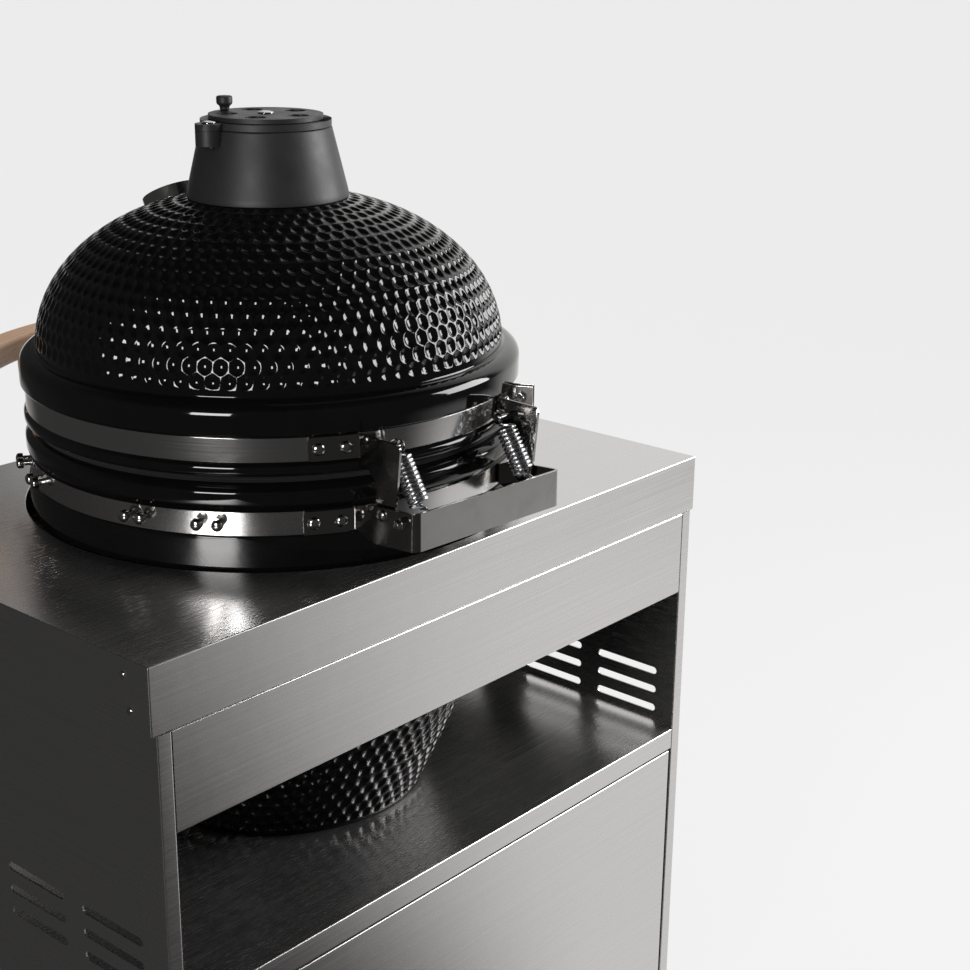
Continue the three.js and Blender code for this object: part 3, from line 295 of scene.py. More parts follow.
def pick(piece, kind, test):
    """In edit mode, selects the vertices, edges or faces that pass a test."""
    bpy.ops.mesh.select_mode(type=kind)
    bpy.ops.mesh.select_all(action="DESELECT")
    form = bmesh.from_edit_mesh(piece.data)
    for item in {"VERT": form.verts, "EDGE": form.edges, "FACE": form.faces}[kind]:
        if test(item):
            item.select_set(True)
    bmesh.update_edit_mesh(piece.data)


def middle_of(edge):
    """The middle point of an edge."""
    return (edge.verts[0].co + edge.verts[1].co) / 2


def pulled(by):
    """Extrudes what is selected in edit mode by a vector."""
    bpy.ops.mesh.extrude_region_move(TRANSFORM_OT_translate={"value": tuple(by)})


def made_of_sheet(piece, gauge, fold=0):
    """Rounds the folds of an outer skin, gives it its gauge inwards and breaks its edges."""
    if fold:
        shaped_by(piece, "BEVEL", width=fold, segments=3, limit_method="ANGLE", angle_limit=math.radians(30))
    shaped_by(piece, "SOLIDIFY", thickness=gauge, offset=-1, use_even_offset=True)
    edit(piece)
    close(piece)
    shaped_by(piece, "BEVEL", width=gauge / 6, segments=2, limit_method="ANGLE",
              angle_limit=math.radians(60))
    return smooth(piece)


def strip(name, columns, gauge):
    """Sheet bent along a line in plan, from columns of x, y, low and high edge, with its
    outer face to the right of the line."""
    count = len(columns)
    points = [(x, y, low) for x, y, low, high in columns] + [(x, y, high) for x, y, low, high in columns]
    faces = [(i, i + 1, count + i + 1, count + i) for i in range(count - 1)]
    return made_of_sheet(drawn(name, points, [], faces), gauge)


hinge = next(joint for joint in frame["joints"] if joint["name"] == "lid_hinge")
low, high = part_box("base_shell")
worktop_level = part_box("worktop")[1].z
kamado_place = Matrix.Translation(((low.x + high.x) / 2, (low.y + high.y) / 2, worktop_level)) @ (
    Matrix.Rotation(math.atan2(-hinge["axis"][1], -hinge["axis"][0]), 4, "Z"))
stainless = brushed_stainless()
sheet = 0.002
fold_radius = 0.0016
post_inset = 0.001
post_depth = 0.0158

for node, name in (("shelf", "shelf_plate"), ("cabinet_floor", "floor_plate")):
    low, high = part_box(node)
    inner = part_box("end_panel_right")[0].x - post_inset
    notch = [low.y + post_depth, high.y - post_depth]
    plan = [(-inner, low.y), (inner, low.y), (inner, notch[0]), (high.x, notch[0]),
            (high.x, notch[1]), (inner, notch[1]), (inner, high.y), (-inner, high.y),
            (-inner, notch[1]), (low.x, notch[1]), (low.x, notch[0]), (-inner, notch[0])]
    tray = drawn(name, [(x, y, high.z) for x, y in plan], [], [range(len(plan))])
    edit(tray)
    pick(tray, "EDGE", lambda edge: min(abs(middle_of(edge).y - low.y), abs(middle_of(edge).y - high.y)) < sheet)
    pulled((0, 0, low.z - high.z))
    bpy.ops.object.mode_set(mode="OBJECT")
    dress(made_of_sheet(tray, sheet, fold_radius), "root", stainless, "brushed_steel", node)


# Shelf braces
# Hat channels of the same sheet, spot-welded under the shelf from end panel to end
# panel, so that the kamado's weight goes into the panels.
along_x = Matrix(((0, 0, 1, 0), (1, 0, 0, 0), (0, 1, 0, 0), (0, 0, 0, 1)))
brace_web = 0.056
brace_flange = 0.016

for end in ("front", "rear"):
    low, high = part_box(f"shelf_brace_{end}")
    centre = (low.y + high.y) / 2
    flange = high.z - sheet
    line = rounded([
        (-brace_web / 2 - brace_flange, flange), (-brace_web / 2, flange), (-brace_web / 2, low.z),
        (brace_web / 2, low.z), (brace_web / 2, flange), (brace_web / 2 + brace_flange, flange)], fold_radius)
    brace = strip(f"hat_channel_{end}", [(centre + y, z, low.x, high.x) for y, z in line], sheet)
    brace.data.transform(along_x)
    dress(brace, "root", stainless, "brushed_steel", f"shelf_brace_{end}")


# End panels
# One sheet each, folded round both corners as posts with a small return lip, and
# punched with four groups of three round-ended vent slots level with the shelf bay.
def begun(kind, name, **settings):
    """A primitive added alone, to be shaped further."""
    bpy.ops.object.select_all(action="DESELECT")
    getattr(bpy.ops.mesh, f"primitive_{kind}_add")(**settings)
    piece = bpy.context.object
    piece.name = name
    bpy.ops.object.transform_apply(location=True, rotation=True, scale=True)
    return piece


def cut(piece, tool, operation="DIFFERENCE", solver="EXACT"):
    """Cuts, joins or trims a piece with another one, which is then gone."""
    shaped_by(piece, "BOOLEAN", object=tool, operation=operation, solver=solver)
    bpy.data.objects.remove(tool)
    return piece


post_lip = 0.015
slot_length = 0.095
slot_width = 0.010
slot_pitch = 0.0265
slot_rise = 0.012
slot_columns = (0.089, 0.2135)
shelf_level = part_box("shelf")[1].z
table_middle = (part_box("worktop")[0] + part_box("worktop")[1]) / 2

slot = begun("cylinder", "slot_punch", vertices=32, radius=slot_width / 2, depth=6 * sheet,
             rotation=(0, math.pi / 2, 0), location=(0, (slot_width - slot_length) / 2, 0))
edit(slot)
pick(slot, "VERT", lambda vertex: vertex.co.y > (slot_width - slot_length) / 2 + 1e-6)
bpy.ops.transform.translate(value=(0, slot_length - slot_width, 0))
close(slot)
for name, side in (("left", -1), ("right", 1)):
    low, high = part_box(f"end_panel_{name}")
    outer, inner = (high.x, low.x) if side > 0 else (low.x, high.x)
    line = rounded([(inner, low.y + post_lip), (inner, low.y), (outer, low.y),
                    (outer, high.y), (inner, high.y), (inner, high.y - post_lip)], fold_radius)
    panel = strip(f"side_sheet_{name}", [(x, y, low.z, high.z) for x, y in line[::side]], sheet)
    punches = [
        copied(slot, "punch", Matrix.Translation(
            (outer, table_middle.y + end * column, shelf_level + slot_rise + row * slot_pitch)))
        for row in range(3) for column in slot_columns for end in (-1, 1)]
    cut(panel, joined(punches, "punches"))
    shaped_by(panel, "BEVEL", width=sheet / 8, segments=2, limit_method="ANGLE",
              angle_limit=math.radians(60))
    dress(smooth(panel), "root", stainless, "brushed_steel", f"end_panel_{name}")
bpy.data.objects.remove(slot)


# Aprons and rear panel
# The aprons are channels that tie the posts together under the worktop. The rear
# panel is a pan that closes the cabinet below the shelf.
def opened_box(name, low, high, removed):
    """A box between two corners without the faces whose normals are given."""
    box = begun("cube", name, size=1, location=(low + high) / 2, scale=high - low)
    edit(box)
    pick(box, "FACE", lambda face: any(face.normal.dot(Vector(way)) > 0.9 for way in removed))
    bpy.ops.mesh.delete(type="FACE")
    bpy.ops.object.mode_set(mode="OBJECT")
    return box


for node, name, inward in (("apron_front", "apron_channel_front", 1), ("apron_rear", "apron_channel_rear", -1)):
    low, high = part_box(node)
    apron = opened_box(name, low, high, [(0, inward, 0), (1, 0, 0), (-1, 0, 0)])
    dress(made_of_sheet(apron, sheet, fold_radius), "root", stainless, "brushed_steel", node)

low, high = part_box("rear_panel")
rear = opened_box("rear_pan", low, high, [(0, -1, 0)])
dress(made_of_sheet(rear, sheet, fold_radius), "root", stainless, "brushed_steel", "rear_panel")


# Worktop
# A cap folded from one sheet: flat top, deep skirt with welded and ground corners and a
# hem below, and a rim turned down round the cut-out that the kamado passes through.
cutout_radius = 0.285
cutout_rim = 0.012
skirt_return = 0.015
low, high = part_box("worktop")

worktop = begun("cube", "worktop_cap", size=1, location=(low + high) / 2, scale=high - low)
cut(worktop, begun("cylinder", "cutout", vertices=256, radius=cutout_radius, depth=1,
                   location=table_middle))
edit(worktop)
pick(worktop, "FACE", lambda face: face.normal.z < -0.9 or (
    abs(face.normal.z) < 0.1 and (face.calc_center_median() - table_middle).to_2d().length < cutout_radius + sheet))
bpy.ops.mesh.delete(type="FACE")
pick(worktop, "EDGE", lambda edge: edge.is_boundary and middle_of(edge).z > high.z - sheet)
pulled((0, 0, -cutout_rim))
pick(worktop, "EDGE", lambda edge: edge.is_boundary and middle_of(edge).z < low.z + sheet)
bpy.ops.mesh.extrude_region_move()
bpy.ops.transform.resize(
    value=(1 - 2 * skirt_return / (high.x - low.x), 1 - 2 * skirt_return / (high.y - low.y), 1),
    center_override=(table_middle.x, table_middle.y, low.z))
bpy.ops.object.mode_set(mode="OBJECT")
dress(made_of_sheet(worktop, sheet, fold_radius), "root", stainless, "brushed_steel", "worktop")


# Skirt screws
# Button-head screws, in pairs at the ends of both side skirts, that hold the worktop to
# the corner brackets inside. Turned heads with a hexagon socket.
def polished_stainless(name="polished_stainless", shade="#c9c8c6"):
    # Stainless bar and plate, buffed to a mirror: bright, with faint haze, fingerprints
    # and fine wipe marks that soften parts of the reflection
    made, tree = new_material(name)
    place = add(tree, "TexCoord")
    haze = add(tree, "TexNoise", {"Scale": 34, "Detail": 5, "Roughness": 0.6, "Distortion": 0.6},
               {"Vector": place.outputs["Object"]})
    wipes = add(tree, "Mapping", {"Scale": (60, 900, 900), "Rotation": (0, 0.5, 0.3)},
                {"Vector": place.outputs["Object"]})
    marks = add(tree, "TexNoise", {"Scale": 1, "Detail": 2}, {"Vector": wipes.outputs[0]})
    gloss = add(tree, "MapRange", {"From Min": 0.4, "From Max": 0.75, "To Min": 0.08, "To Max": 0.2},
                {"Value": haze.outputs["Fac"]})
    wave = add(tree, "Bump", {"Strength": 0.1, "Distance": 0.0004}, {"Height": haze.outputs["Fac"]})
    lines = add(tree, "Bump", {"Strength": 0.1, "Distance": 0.00002},
                {"Height": marks.outputs["Fac"], "Normal": wave.outputs[0]})
    shader = add(tree, "BsdfPrincipled", {"Metallic": 1, "Base Color": linear(shade)},
                 {"Roughness": gloss.outputs[0], "Normal": lines.outputs[0]})
    add(tree, "OutputMaterial", links={"Surface": shader.outputs[0]})
    return made


def button_screw(name, radius, height, socket):
    """A button-head screw along +Z, with a hexagon socket."""
    profile = [(0, -height), (radius * 0.5, -height), (radius * 0.5, 0), (radius, 0)]
    for step in range(5):
        angle = math.pi / 2 * step / 4
        profile.append((radius * math.cos(angle * 0.85), height * math.sin(angle)))
    profile.append((0, height))
    screw = turned(name, profile, 24)
    cut(screw, begun("cylinder", "socket", vertices=6, radius=socket, depth=height,
                     location=(0, 0, height)))
    return smooth(screw, 40)


polished = polished_stainless()
skirt_screw_radius = 0.0045
skirt_screw_height = 0.0016
skirt_screw_places = ((0.038, 0.018), (0.030, 0.052))

screw = button_screw("screw", skirt_screw_radius, skirt_screw_height, skirt_screw_radius * 0.45)
screws = []
for side in (-1, 1):
    for end in (-1, 1):
        for inset, level in skirt_screw_places:
            x = high.x * side
            y = table_middle.y + end * ((high.y - low.y) / 2 - inset)
            place = Matrix.Translation((x, y, high.z - level)) @ Matrix.Rotation(side * math.pi / 2, 4, "Y")
            screws.append(copied(screw, "skirt_screw", place))
dress(joined(screws, "skirt_screws"), "root", polished, "polished_steel")
bpy.data.objects.remove(screw)


# Cabinet doors
# Pans of the same sheet as the rear panel. Each turns on a pin above and below at its
# outer edge and has a bar pull on two posts, screwed on from inside.
pull_radius = 0.006
pull_post_inset = 0.012

for name in ("left", "right"):
    low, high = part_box(f"door_{name}")
    door = opened_box(f"door_pan_{name}", low, high, [(0, 1, 0)])
    dress(made_of_sheet(door, sheet, fold_radius), f"door_{name}", stainless, "brushed_steel", f"door_{name}")
    for level in ("upper", "lower"):
        low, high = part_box(f"door_pin_{level}_{name}")
        radius = (high.x - low.x) / 2
        height = high.z - low.z
        pin = turned(f"pivot_{level}_{name}", rounded(
            [(0, 0), (radius, 0), (radius, height), (0, height)], 0.0008), 32)
        pin.data.transform(Matrix.Translation(((low.x + high.x) / 2, (low.y + high.y) / 2, low.z)))
        dress(smooth(pin), "root", polished, "polished_steel", f"door_pin_{level}_{name}")
    low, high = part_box(f"door_pull_{name}")
    x = (low.x + high.x) / 2
    y = low.y + pull_radius
    bar = turned(f"pull_bar_{name}", rounded(
        [(0, 0), (pull_radius, 0), (pull_radius, high.z - low.z), (0, high.z - low.z)], 0.0012), 32)
    bar.data.transform(Matrix.Translation((x, y, low.z)))
    for z in (low.z + pull_post_inset, high.z - pull_post_inset):
        post = begun("cylinder", "pull_post", vertices=32, radius=pull_radius * 0.8, depth=high.y - y,
                     rotation=(math.pi / 2, 0, 0), location=(x, (y + high.y) / 2, z))
        cut(bar, post, "UNION")
    dress(smooth(bar), f"door_{name}", polished, "polished_steel", f"door_pull_{name}")


# Kamado base
# Slip-cast ceramic, glazed black and fired: a dimpled belly that narrows to its foot, a
# smooth collar with the seat for the lower band and a ridge under the rim. The window
# for the draft door is cut before firing, and the glaze is left smooth round it.
def black_glaze():
    # Glossy black glaze over cast ceramic: deep and wet, with the slow ripple that a
    # poured glaze keeps and a very fine orange peel of about 3 mm
    made, tree = new_material("black_glaze")
    place = add(tree, "TexCoord")
    ripple = add(tree, "TexNoise", {"Scale": 28, "Detail": 2, "Roughness": 0.5},
                 {"Vector": place.outputs["Object"]})
    peel = add(tree, "TexNoise", {"Scale": 330, "Detail": 2}, {"Vector": place.outputs["Object"]})
    tone = add(tree, "Mix", {"data_type": "RGBA", 6: linear("#050505"), 7: linear("#0b0a0a")},
               {0: ripple.outputs["Fac"]})
    gloss = add(tree, "MapRange", {"From Min": 0.3, "From Max": 0.7, "To Min": 0.035, "To Max": 0.075},
                {"Value": ripple.outputs["Fac"]})
    wave = add(tree, "Bump", {"Strength": 0.35, "Distance": 0.0006}, {"Height": ripple.outputs["Fac"]})
    fine = add(tree, "Bump", {"Strength": 0.12, "Distance": 0.00004},
               {"Height": peel.outputs["Fac"], "Normal": wave.outputs[0]})
    shader = add(tree, "BsdfPrincipled", {"IOR": 1.52},
                 {"Base Color": tone.outputs[2], "Roughness": gloss.outputs[0], "Normal": fine.outputs[0]})
    add(tree, "OutputMaterial", links={"Surface": shader.outputs[0]})
    return made


def between(shares, at):
    """The value at a place along a line of (place, value) points."""
    for (a, u), (b, v) in zip(shares, shares[1:]):
        if at <= b:
            return u + (v - u) * max(0, at - a) / (b - a)
    return shares[-1][1]


class Shell:
    """Rings of points round the kamado's axis, joined one after the other into a wall."""

    def __init__(self):
        self.points, self.faces, self.last, self.first = [], [], None, None

    def point(self, radius, angle, height):
        self.points.append((radius * math.cos(angle), radius * math.sin(angle), height))
        return len(self.points) - 1

    def zip_to(self, ring):
        """Joins the last ring to the next one, whatever their counts, by rising angle."""
        if self.last is None:
            self.first = ring
        else:
            lower, upper = self.last, ring
            a = lower + [(lower[0][0], lower[0][1] + math.tau)]
            b = upper + [(upper[0][0], upper[0][1] + math.tau)]
            i = j = 0
            while i < len(lower) or j < len(upper):
                if j == len(upper) or (i < len(lower) and a[i + 1][1] <= b[j + 1][1]):
                    self.faces.append((a[i][0], a[i + 1][0], b[j][0]))
                    i += 1
                else:
                    self.faces.append((a[i][0], b[j + 1][0], b[j][0]))
                    j += 1
        self.last = ring

    def ring(self, radius, height, count):
        """A smooth ring, or a fan to one point on the axis."""
        angles = [math.tau * k / count for k in range(count)]
        self.zip_to([(self.point(radius, angle, height), angle) for angle in angles])

    def dimple_row(self, at, middle, count, sides, rings, plain, joined_low, joined_high):
        """A row of dimples in six-sided cells, which interlock with a row of the same count
        below or above. Where there is none, that side of the cells is straight."""
        half_turn = math.pi / count
        wide = dimple_share * half_turn
        self.row = getattr(self, "row", 0) + 1
        start = half_turn * (self.row % 2)
        shapes = {True: (cell_rise / 2, cell_rise, dimple_rise), False: (straight_rise, straight_rise, low_rise)}
        corners, rises = [], []
        for j in range(sides):
            upper = 2 * j <= sides
            t = 8 * (j if upper else sides - j) / sides
            side, peak, rise = shapes[joined_high if upper else joined_low]
            height = between(((0, 0), (1, side), (2, peak), (3, side), (4, 0)), t)
            corners.append((between(((0, 1), (1, 1), (3, -1), (4, -1)), t), height if upper else -height))
            rises.append(rise)

        def put(angle, along, depth):
            r, z, nr, nz = at(middle + along)
            return self.point(r - depth * nr, angle, z - depth * nz)

        bottom, top = [], []
        for k in range(count):
            centre = start + 2 * half_turn * k
            flat = plain(centre, at(middle)[1])
            hollow = 0 if flat else dimple_depth
            loops = []
            for share in rings:
                depth = hollow * (1 - share * share) ** dimple_power
                loops.append([
                    put(centre + share * wide * math.cos(math.tau * j / sides),
                        share * rises[j] * math.sin(math.tau * j / sides), depth)
                    for j in range(sides)])
            loops.append([put(centre + half_turn * x, y, 0) for x, y in corners])
            eye = put(centre, 0, hollow)
            for j in range(sides):
                n = (j + 1) % sides
                self.faces.append((eye, loops[0][j], loops[0][n]))
                for inner, outer in zip(loops, loops[1:]):
                    self.faces.append((inner[j], outer[j], outer[n], inner[n]))
            edge = sides // 8
            low_run = range(sides - 3 * edge, sides - edge)
            high_run = range(3 * edge, edge, -1)
            bottom += [(loops[-1][j % sides], centre + half_turn * corners[j % sides][0]) for j in low_run]
            top += [(loops[-1][j], centre + half_turn * corners[j][0]) for j in high_run]
        if not joined_low:
            self.zip_to(bottom)
        self.last = top

    def dimples(self, at, first, rows, detail, plain):
        """Rows of dimples up an outline. Rows of nearly the same girth have the same count."""
        middles = [first + (row + 0.5) * row_pitch for row in range(rows)]
        counts = []
        for middle in middles:
            girth = math.tau * at(middle)[0]
            kept = counts and pitch_range[0] < girth / counts[-1] / dimple_pitch < pitch_range[1]
            counts.append(counts[-1] if kept else round(girth / dimple_pitch))
        details = [detail(at(middle)[1]) for middle in middles]
        alike = [(counts[i], details[i]) == (counts[i + 1], details[i + 1]) for i in range(rows - 1)]
        for i, middle in enumerate(middles):
            self.dimple_row(at, middle, counts[i], *details[i], plain,
                            i > 0 and alike[i - 1], i < rows - 1 and alike[i])

    def made(self, name):
        """The closed piece."""
        self.zip_to(self.first)
        piece = drawn(name, self.points, [], self.faces)
        edit(piece)
        close(piece)
        bpy.ops.object.shade_smooth()
        return piece


def along(line):
    """Reads radius, height and normal at a distance along a fine outline."""
    lengths = [0]
    for (ar, az), (br, bz) in zip(line, line[1:]):
        lengths.append(lengths[-1] + math.hypot(br - ar, bz - az))

    def at(distance):
        share = min(max(distance, 0), lengths[-1]) / lengths[-1]
        low, high = 0, len(lengths) - 1
        while high - low > 1:
            half = (low + high) // 2
            if lengths[half] <= share * lengths[-1]:
                low = half
            else:
                high = half
        t = (share * lengths[-1] - lengths[low]) / (lengths[high] - lengths[low])
        (ar, az), (br, bz) = line[low], line[high]
        span = math.hypot(br - ar, bz - az)
        return ar + (br - ar) * t, az + (bz - az) * t, (bz - az) / span, (ar - br) / span

    return at, lengths[-1]


glaze = black_glaze()
dimple_pitch = 0.0164
pitch_range = (0.86, 1.14)
row_pitch = 0.0156
cell_rise = row_pitch / 1.5
dimple_share = 0.94
dimple_rise = 0.0088
dimple_depth = 0.0029
dimple_power = 1.2
dimple_land = 0.0004
straight_rise = (row_pitch - dimple_land) / 2
low_rise = straight_rise * 0.97
fine_rings = (0.35, 0.65, 0.85, 1.0)
plain_rings = (0.6, 1.0)
fine_steps = 256
hidden_steps = 128
outline_steps = 400

low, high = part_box("base_shell")
foot_level = low.z - worktop_level
rim_level = high.z - worktop_level

seat_gap = 0.0003
band_seat = 0.275
belly_radius = band_seat + 0.004
ridge_radius = band_seat + 0.005
rim_radius = band_seat - 0.003
stand_radius = 0.171
belly_power = 1.6
base_wall = 0.028
floor_thickness = 0.026
lower_band_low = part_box("lower_band")[0].z - worktop_level
lower_band_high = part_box("lower_band")[1].z - worktop_level
glaze_round = 0.0022
draft_width = 0.100
draft_height = 0.046
draft_low = foot_level + floor_thickness + 0.004
draft_plain = 0.075


def belly_at(height):
    """The belly's outer radius at a height below the worktop."""
    return belly_radius - (belly_radius - stand_radius) * (max(0, -height) / -foot_level) ** belly_power


belly_line = [(belly_at(z), z) for z in (foot_level * (1 - i / outline_steps) for i in range(outline_steps + 1))]
belly, belly_length = along(belly_line)
foot_margin = 0.006
row_count = int((belly_length - foot_margin - 0.004) / row_pitch)
bay_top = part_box("apron_rear")[0].z - worktop_level
belly_shell = Shell()
belly_shell.ring(1e-5, foot_level, hidden_steps)
for r, z in rounded([(stand_radius - 0.03, foot_level), (stand_radius, foot_level), belly(foot_margin)[:2]], 0.004):
    belly_shell.ring(r, z, fine_steps)


def by_the_draft(angle, height):
    """True for dimples round the draft door, where the wall is left smooth."""
    around = (angle + math.pi / 2 + math.pi) % math.tau - math.pi
    reach = draft_plain / belly_at(height)
    return -reach < around < reach + 0.45 and draft_low - 0.02 < height < draft_low + draft_height + 0.02


belly_shell.dimples(belly, foot_margin, row_count,
                    lambda height: (8, plain_rings) if height > bay_top + 0.03 else (16, fine_rings), by_the_draft)
ridge_low = lower_band_high + seat_gap
ridge_slope = (rim_level - ridge_low) * 0.25
collar_line = [
    (belly_radius, 0.0), (belly_radius, lower_band_low - 2 * seat_gap), (band_seat, lower_band_low - seat_gap),
    (band_seat, ridge_low), (ridge_radius, ridge_low + ridge_slope), (ridge_radius, rim_level - ridge_slope),
    (rim_radius, rim_level), (belly_radius - base_wall, rim_level), (belly_radius - base_wall, 0.0)]
for r, z in rounded(collar_line, glaze_round):
    belly_shell.ring(r, z, fine_steps)
for i in range(1, 13):
    z = (foot_level + floor_thickness) * i / 12
    belly_shell.ring(belly_at(z) - base_wall, z, hidden_steps)
belly_shell.ring(1e-5, foot_level + floor_thickness, hidden_steps)
base = belly_shell.made("kamado_base")
window = begun("cube", "draft_window", size=1, scale=(draft_width, belly_radius, draft_height),
               location=(0, -belly_radius / 2, draft_low + draft_height / 2))
cut(base, window, solver="MANIFOLD")
base.data.transform(kamado_place)
dress(base, "root", glaze, "black_glaze", "base_shell")


# Lid
# The same glazed ceramic: a ridge over the seam, the seat for the upper band, a flange
# with a round shoulder, and a dome dimpled up to the smooth ring under the chimney.
rim_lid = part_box("lid_shell")[0].z - worktop_level
upper_band_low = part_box("upper_band")[0].z - worktop_level
upper_band_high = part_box("upper_band")[1].z - worktop_level
flange_radius = band_seat + 0.0075
flange_top = upper_band_high + 0.0236
dome_radius = band_seat - 0.012
dome_start = flange_top + 0.0135
dome_height = 0.169
dome_power = 2.3
lid_wall = 0.025
vent_radius = 0.070
collar_lap = 0.020
shoulder_steps = 8


def dome_at(angle):
    """Radius and height of the dome at an angle of its superellipse."""
    return (dome_radius * math.cos(angle) ** (2 / dome_power), dome_start + dome_height * math.sin(angle))


def dome_angle(radius):
    """The superellipse's angle where the dome has a radius."""
    return math.acos((radius / dome_radius) ** (dome_power / 2))


vent_angle = dome_angle(vent_radius)
dome_line = [dome_at(vent_angle * i / outline_steps) for i in range(outline_steps + 1)]
dome, dome_length = along(dome_line)
dome_foot = 0.008
dome_rows = int((dome_length - dome_foot - collar_lap + 0.004) / row_pitch)
crown_shell = Shell()
seat_high = upper_band_high + seat_gap
lid_slope = (upper_band_low - seat_gap - rim_lid) * 0.25
lid_line = [
    (belly_radius - base_wall, rim_lid), (rim_radius, rim_lid), (ridge_radius, rim_lid + lid_slope),
    (ridge_radius, upper_band_low - seat_gap - lid_slope), (band_seat, upper_band_low - seat_gap),
    (band_seat, seat_high), (flange_radius, seat_high + 0.0023), (flange_radius, flange_top)]
for r, z in rounded(lid_line, glaze_round):
    crown_shell.ring(r, z, fine_steps)
for step in range(1, shoulder_steps + 1):
    angle = math.pi / 2 * step / shoulder_steps
    crown_shell.ring(
        dome_radius + (flange_radius - dome_radius) * math.cos(angle) ** 0.9,
        flange_top + (dome_start - flange_top) * math.sin(angle), fine_steps)
for share in (0.3, 0.8):
    crown_shell.ring(*dome(share * dome_foot)[:2], fine_steps)
crown_shell.dimples(dome, dome_foot, dome_rows, lambda height: (16, fine_rings), lambda angle, height: False)
for i in range(3):
    r, z = dome(dome_length - (collar_lap * 0.5) * (1 - i / 2))[:2]
    crown_shell.ring(r, z, fine_steps)
for i in range(13):
    r, z = dome_at(vent_angle * (1 - i / 12))
    nr, nz = dome(dome_length * (1 - i / 12))[2:]
    crown_shell.ring(max(r - lid_wall * nr, vent_radius), z - lid_wall * nz, hidden_steps)
lid = crown_shell.made("kamado_lid")
lid.data.transform(kamado_place)
dress(lid, "lid", glaze, "black_glaze", "lid_shell")


# Rim gaskets
# Rings of pressed felt, glued into the rims of base and lid, that seal the seam.
def pressed_felt():
    # Aramid felt, needled and pressed: charcoal fibres matted in all directions and
    # stained by smoke, with no gloss at all. Fibres are 0.4 mm wide.
    made, tree = new_material("pressed_felt")
    place = add(tree, "TexCoord")
    fibre = add(tree, "TexNoise", {"Scale": 1200, "Detail": 4, "Distortion": 2}, {"Vector": place.outputs["Object"]})
    stain = add(tree, "TexNoise", {"Scale": 25, "Detail": 3}, {"Vector": place.outputs["Object"]})
    both = add(tree, "Math", {"operation": "MULTIPLY"}, {0: fibre.outputs["Fac"], 1: stain.outputs["Fac"]})
    tone = add(tree, "Mix", {"data_type": "RGBA", 6: linear("#060606"), 7: linear("#161515")}, {0: both.outputs[0]})
    bump = add(tree, "Bump", {"Strength": 0.8, "Distance": 0.0004}, {"Height": fibre.outputs["Fac"]})
    shader = add(tree, "BsdfPrincipled", {"Roughness": 0.95, "Sheen Weight": 0.05},
                 {"Base Color": tone.outputs[2], "Normal": bump.outputs[0]})
    add(tree, "OutputMaterial", links={"Surface": shader.outputs[0]})
    return made


felt = pressed_felt()
gasket_width = 0.018
gasket_round = 0.0008
for node, body in (("base_gasket", "root"), ("lid_gasket", "lid")):
    low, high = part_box(node)
    z0, z1 = low.z - worktop_level, high.z - worktop_level
    outer = rim_radius - (z1 - z0)
    seal = turned(node.replace("gasket", "felt_ring"), rounded(
        [(outer - gasket_width, z0), (outer, z0), (outer, z1), (outer - gasket_width, z1)],
        gasket_round, closed=True), 128, closed=True)
    seal.data.transform(kamado_place)
    dress(smooth(seal), body, felt, "felt_seal", node)


# Bands
# Straps rolled from stainless strip and ground along their length, with both ends bent
# out as ears that a clamp bolt draws together. Pairs of domed cap screws on the lower
# band clamp its two halves and press on the seat.
band_gauge = 0.002
band_outer = band_seat + seat_gap + band_gauge
clamp_gap = 0.007
clamp_ear = 0.027
clamp_ear_gauge = 0.0025
clamp_bend = 0.0025
clamp_steps = 240
lower_clamp_angle = 180
upper_clamp_angle = -32.5
cap_screw_angles = (51.0, 55.3, 67.9, 71.6, 103.0, 106.3, 118.5, 122.0)
cap_screw_rise = 0.0145
cap_screw_shank = 0.0034
cap_screw_radius = 0.0062
cap_screw_reach = 0.008
cap_screw_length = 0.0085


def round_clock(radius, angle):
    """A point in plan at a radius and an angle in degrees from +Y towards +X."""
    return radius * math.sin(math.radians(angle)), radius * math.cos(math.radians(angle))


def to_clock(angle):
    """Turns a piece that was made towards +Y to an angle, and sets it on the kamado."""
    return kamado_place @ Matrix.Rotation(-math.radians(angle), 4, "Z")


along_y = Matrix(((1, 0, 0, 0), (0, 0, 1, 0), (0, -1, 0, 0), (0, 0, 0, 1)))


def strap(name, line, low, high, clamp):
    """A clamped ring: the line is the outer face in plan with the gap towards +Y."""
    piece = strip(name, [(x, y, low, high) for x, y in line], band_gauge)
    piece.data.transform(to_clock(clamp))
    return piece


ear_x = clamp_gap / 2 + clamp_ear_gauge
ear_foot = math.sqrt(band_outer ** 2 - ear_x ** 2)
first_angle = -math.degrees(math.asin((ear_x + clamp_bend) / band_outer))
ear_line = rounded([(-ear_x, band_outer + clamp_ear), (-ear_x, ear_foot), round_clock(band_outer, first_angle)],
                   clamp_bend)
ring_line = [round_clock(band_outer, first_angle + (-360 - 2 * first_angle) * i / clamp_steps)
             for i in range(1, clamp_steps)]
strap_line = ear_line + ring_line + [(-x, y) for x, y in reversed(ear_line)]
strap_steel = brushed_stainless("ground_strap", wrapped=True, gloss_from=0.09)


def hexagon(name, radius, height, chamfer=0.0006):
    """A chamfered hexagon head or nut that stands on z = 0."""
    body = begun("cylinder", name, vertices=6, radius=radius, depth=height, location=(0, 0, height / 2))
    cone = turned("chamfer", [(0, -height), (radius * 0.97, -height), (radius, chamfer), (radius, height - chamfer),
                              (radius - 2 * chamfer, height), (0, height)], 36)
    return cut(body, cone, "INTERSECT")


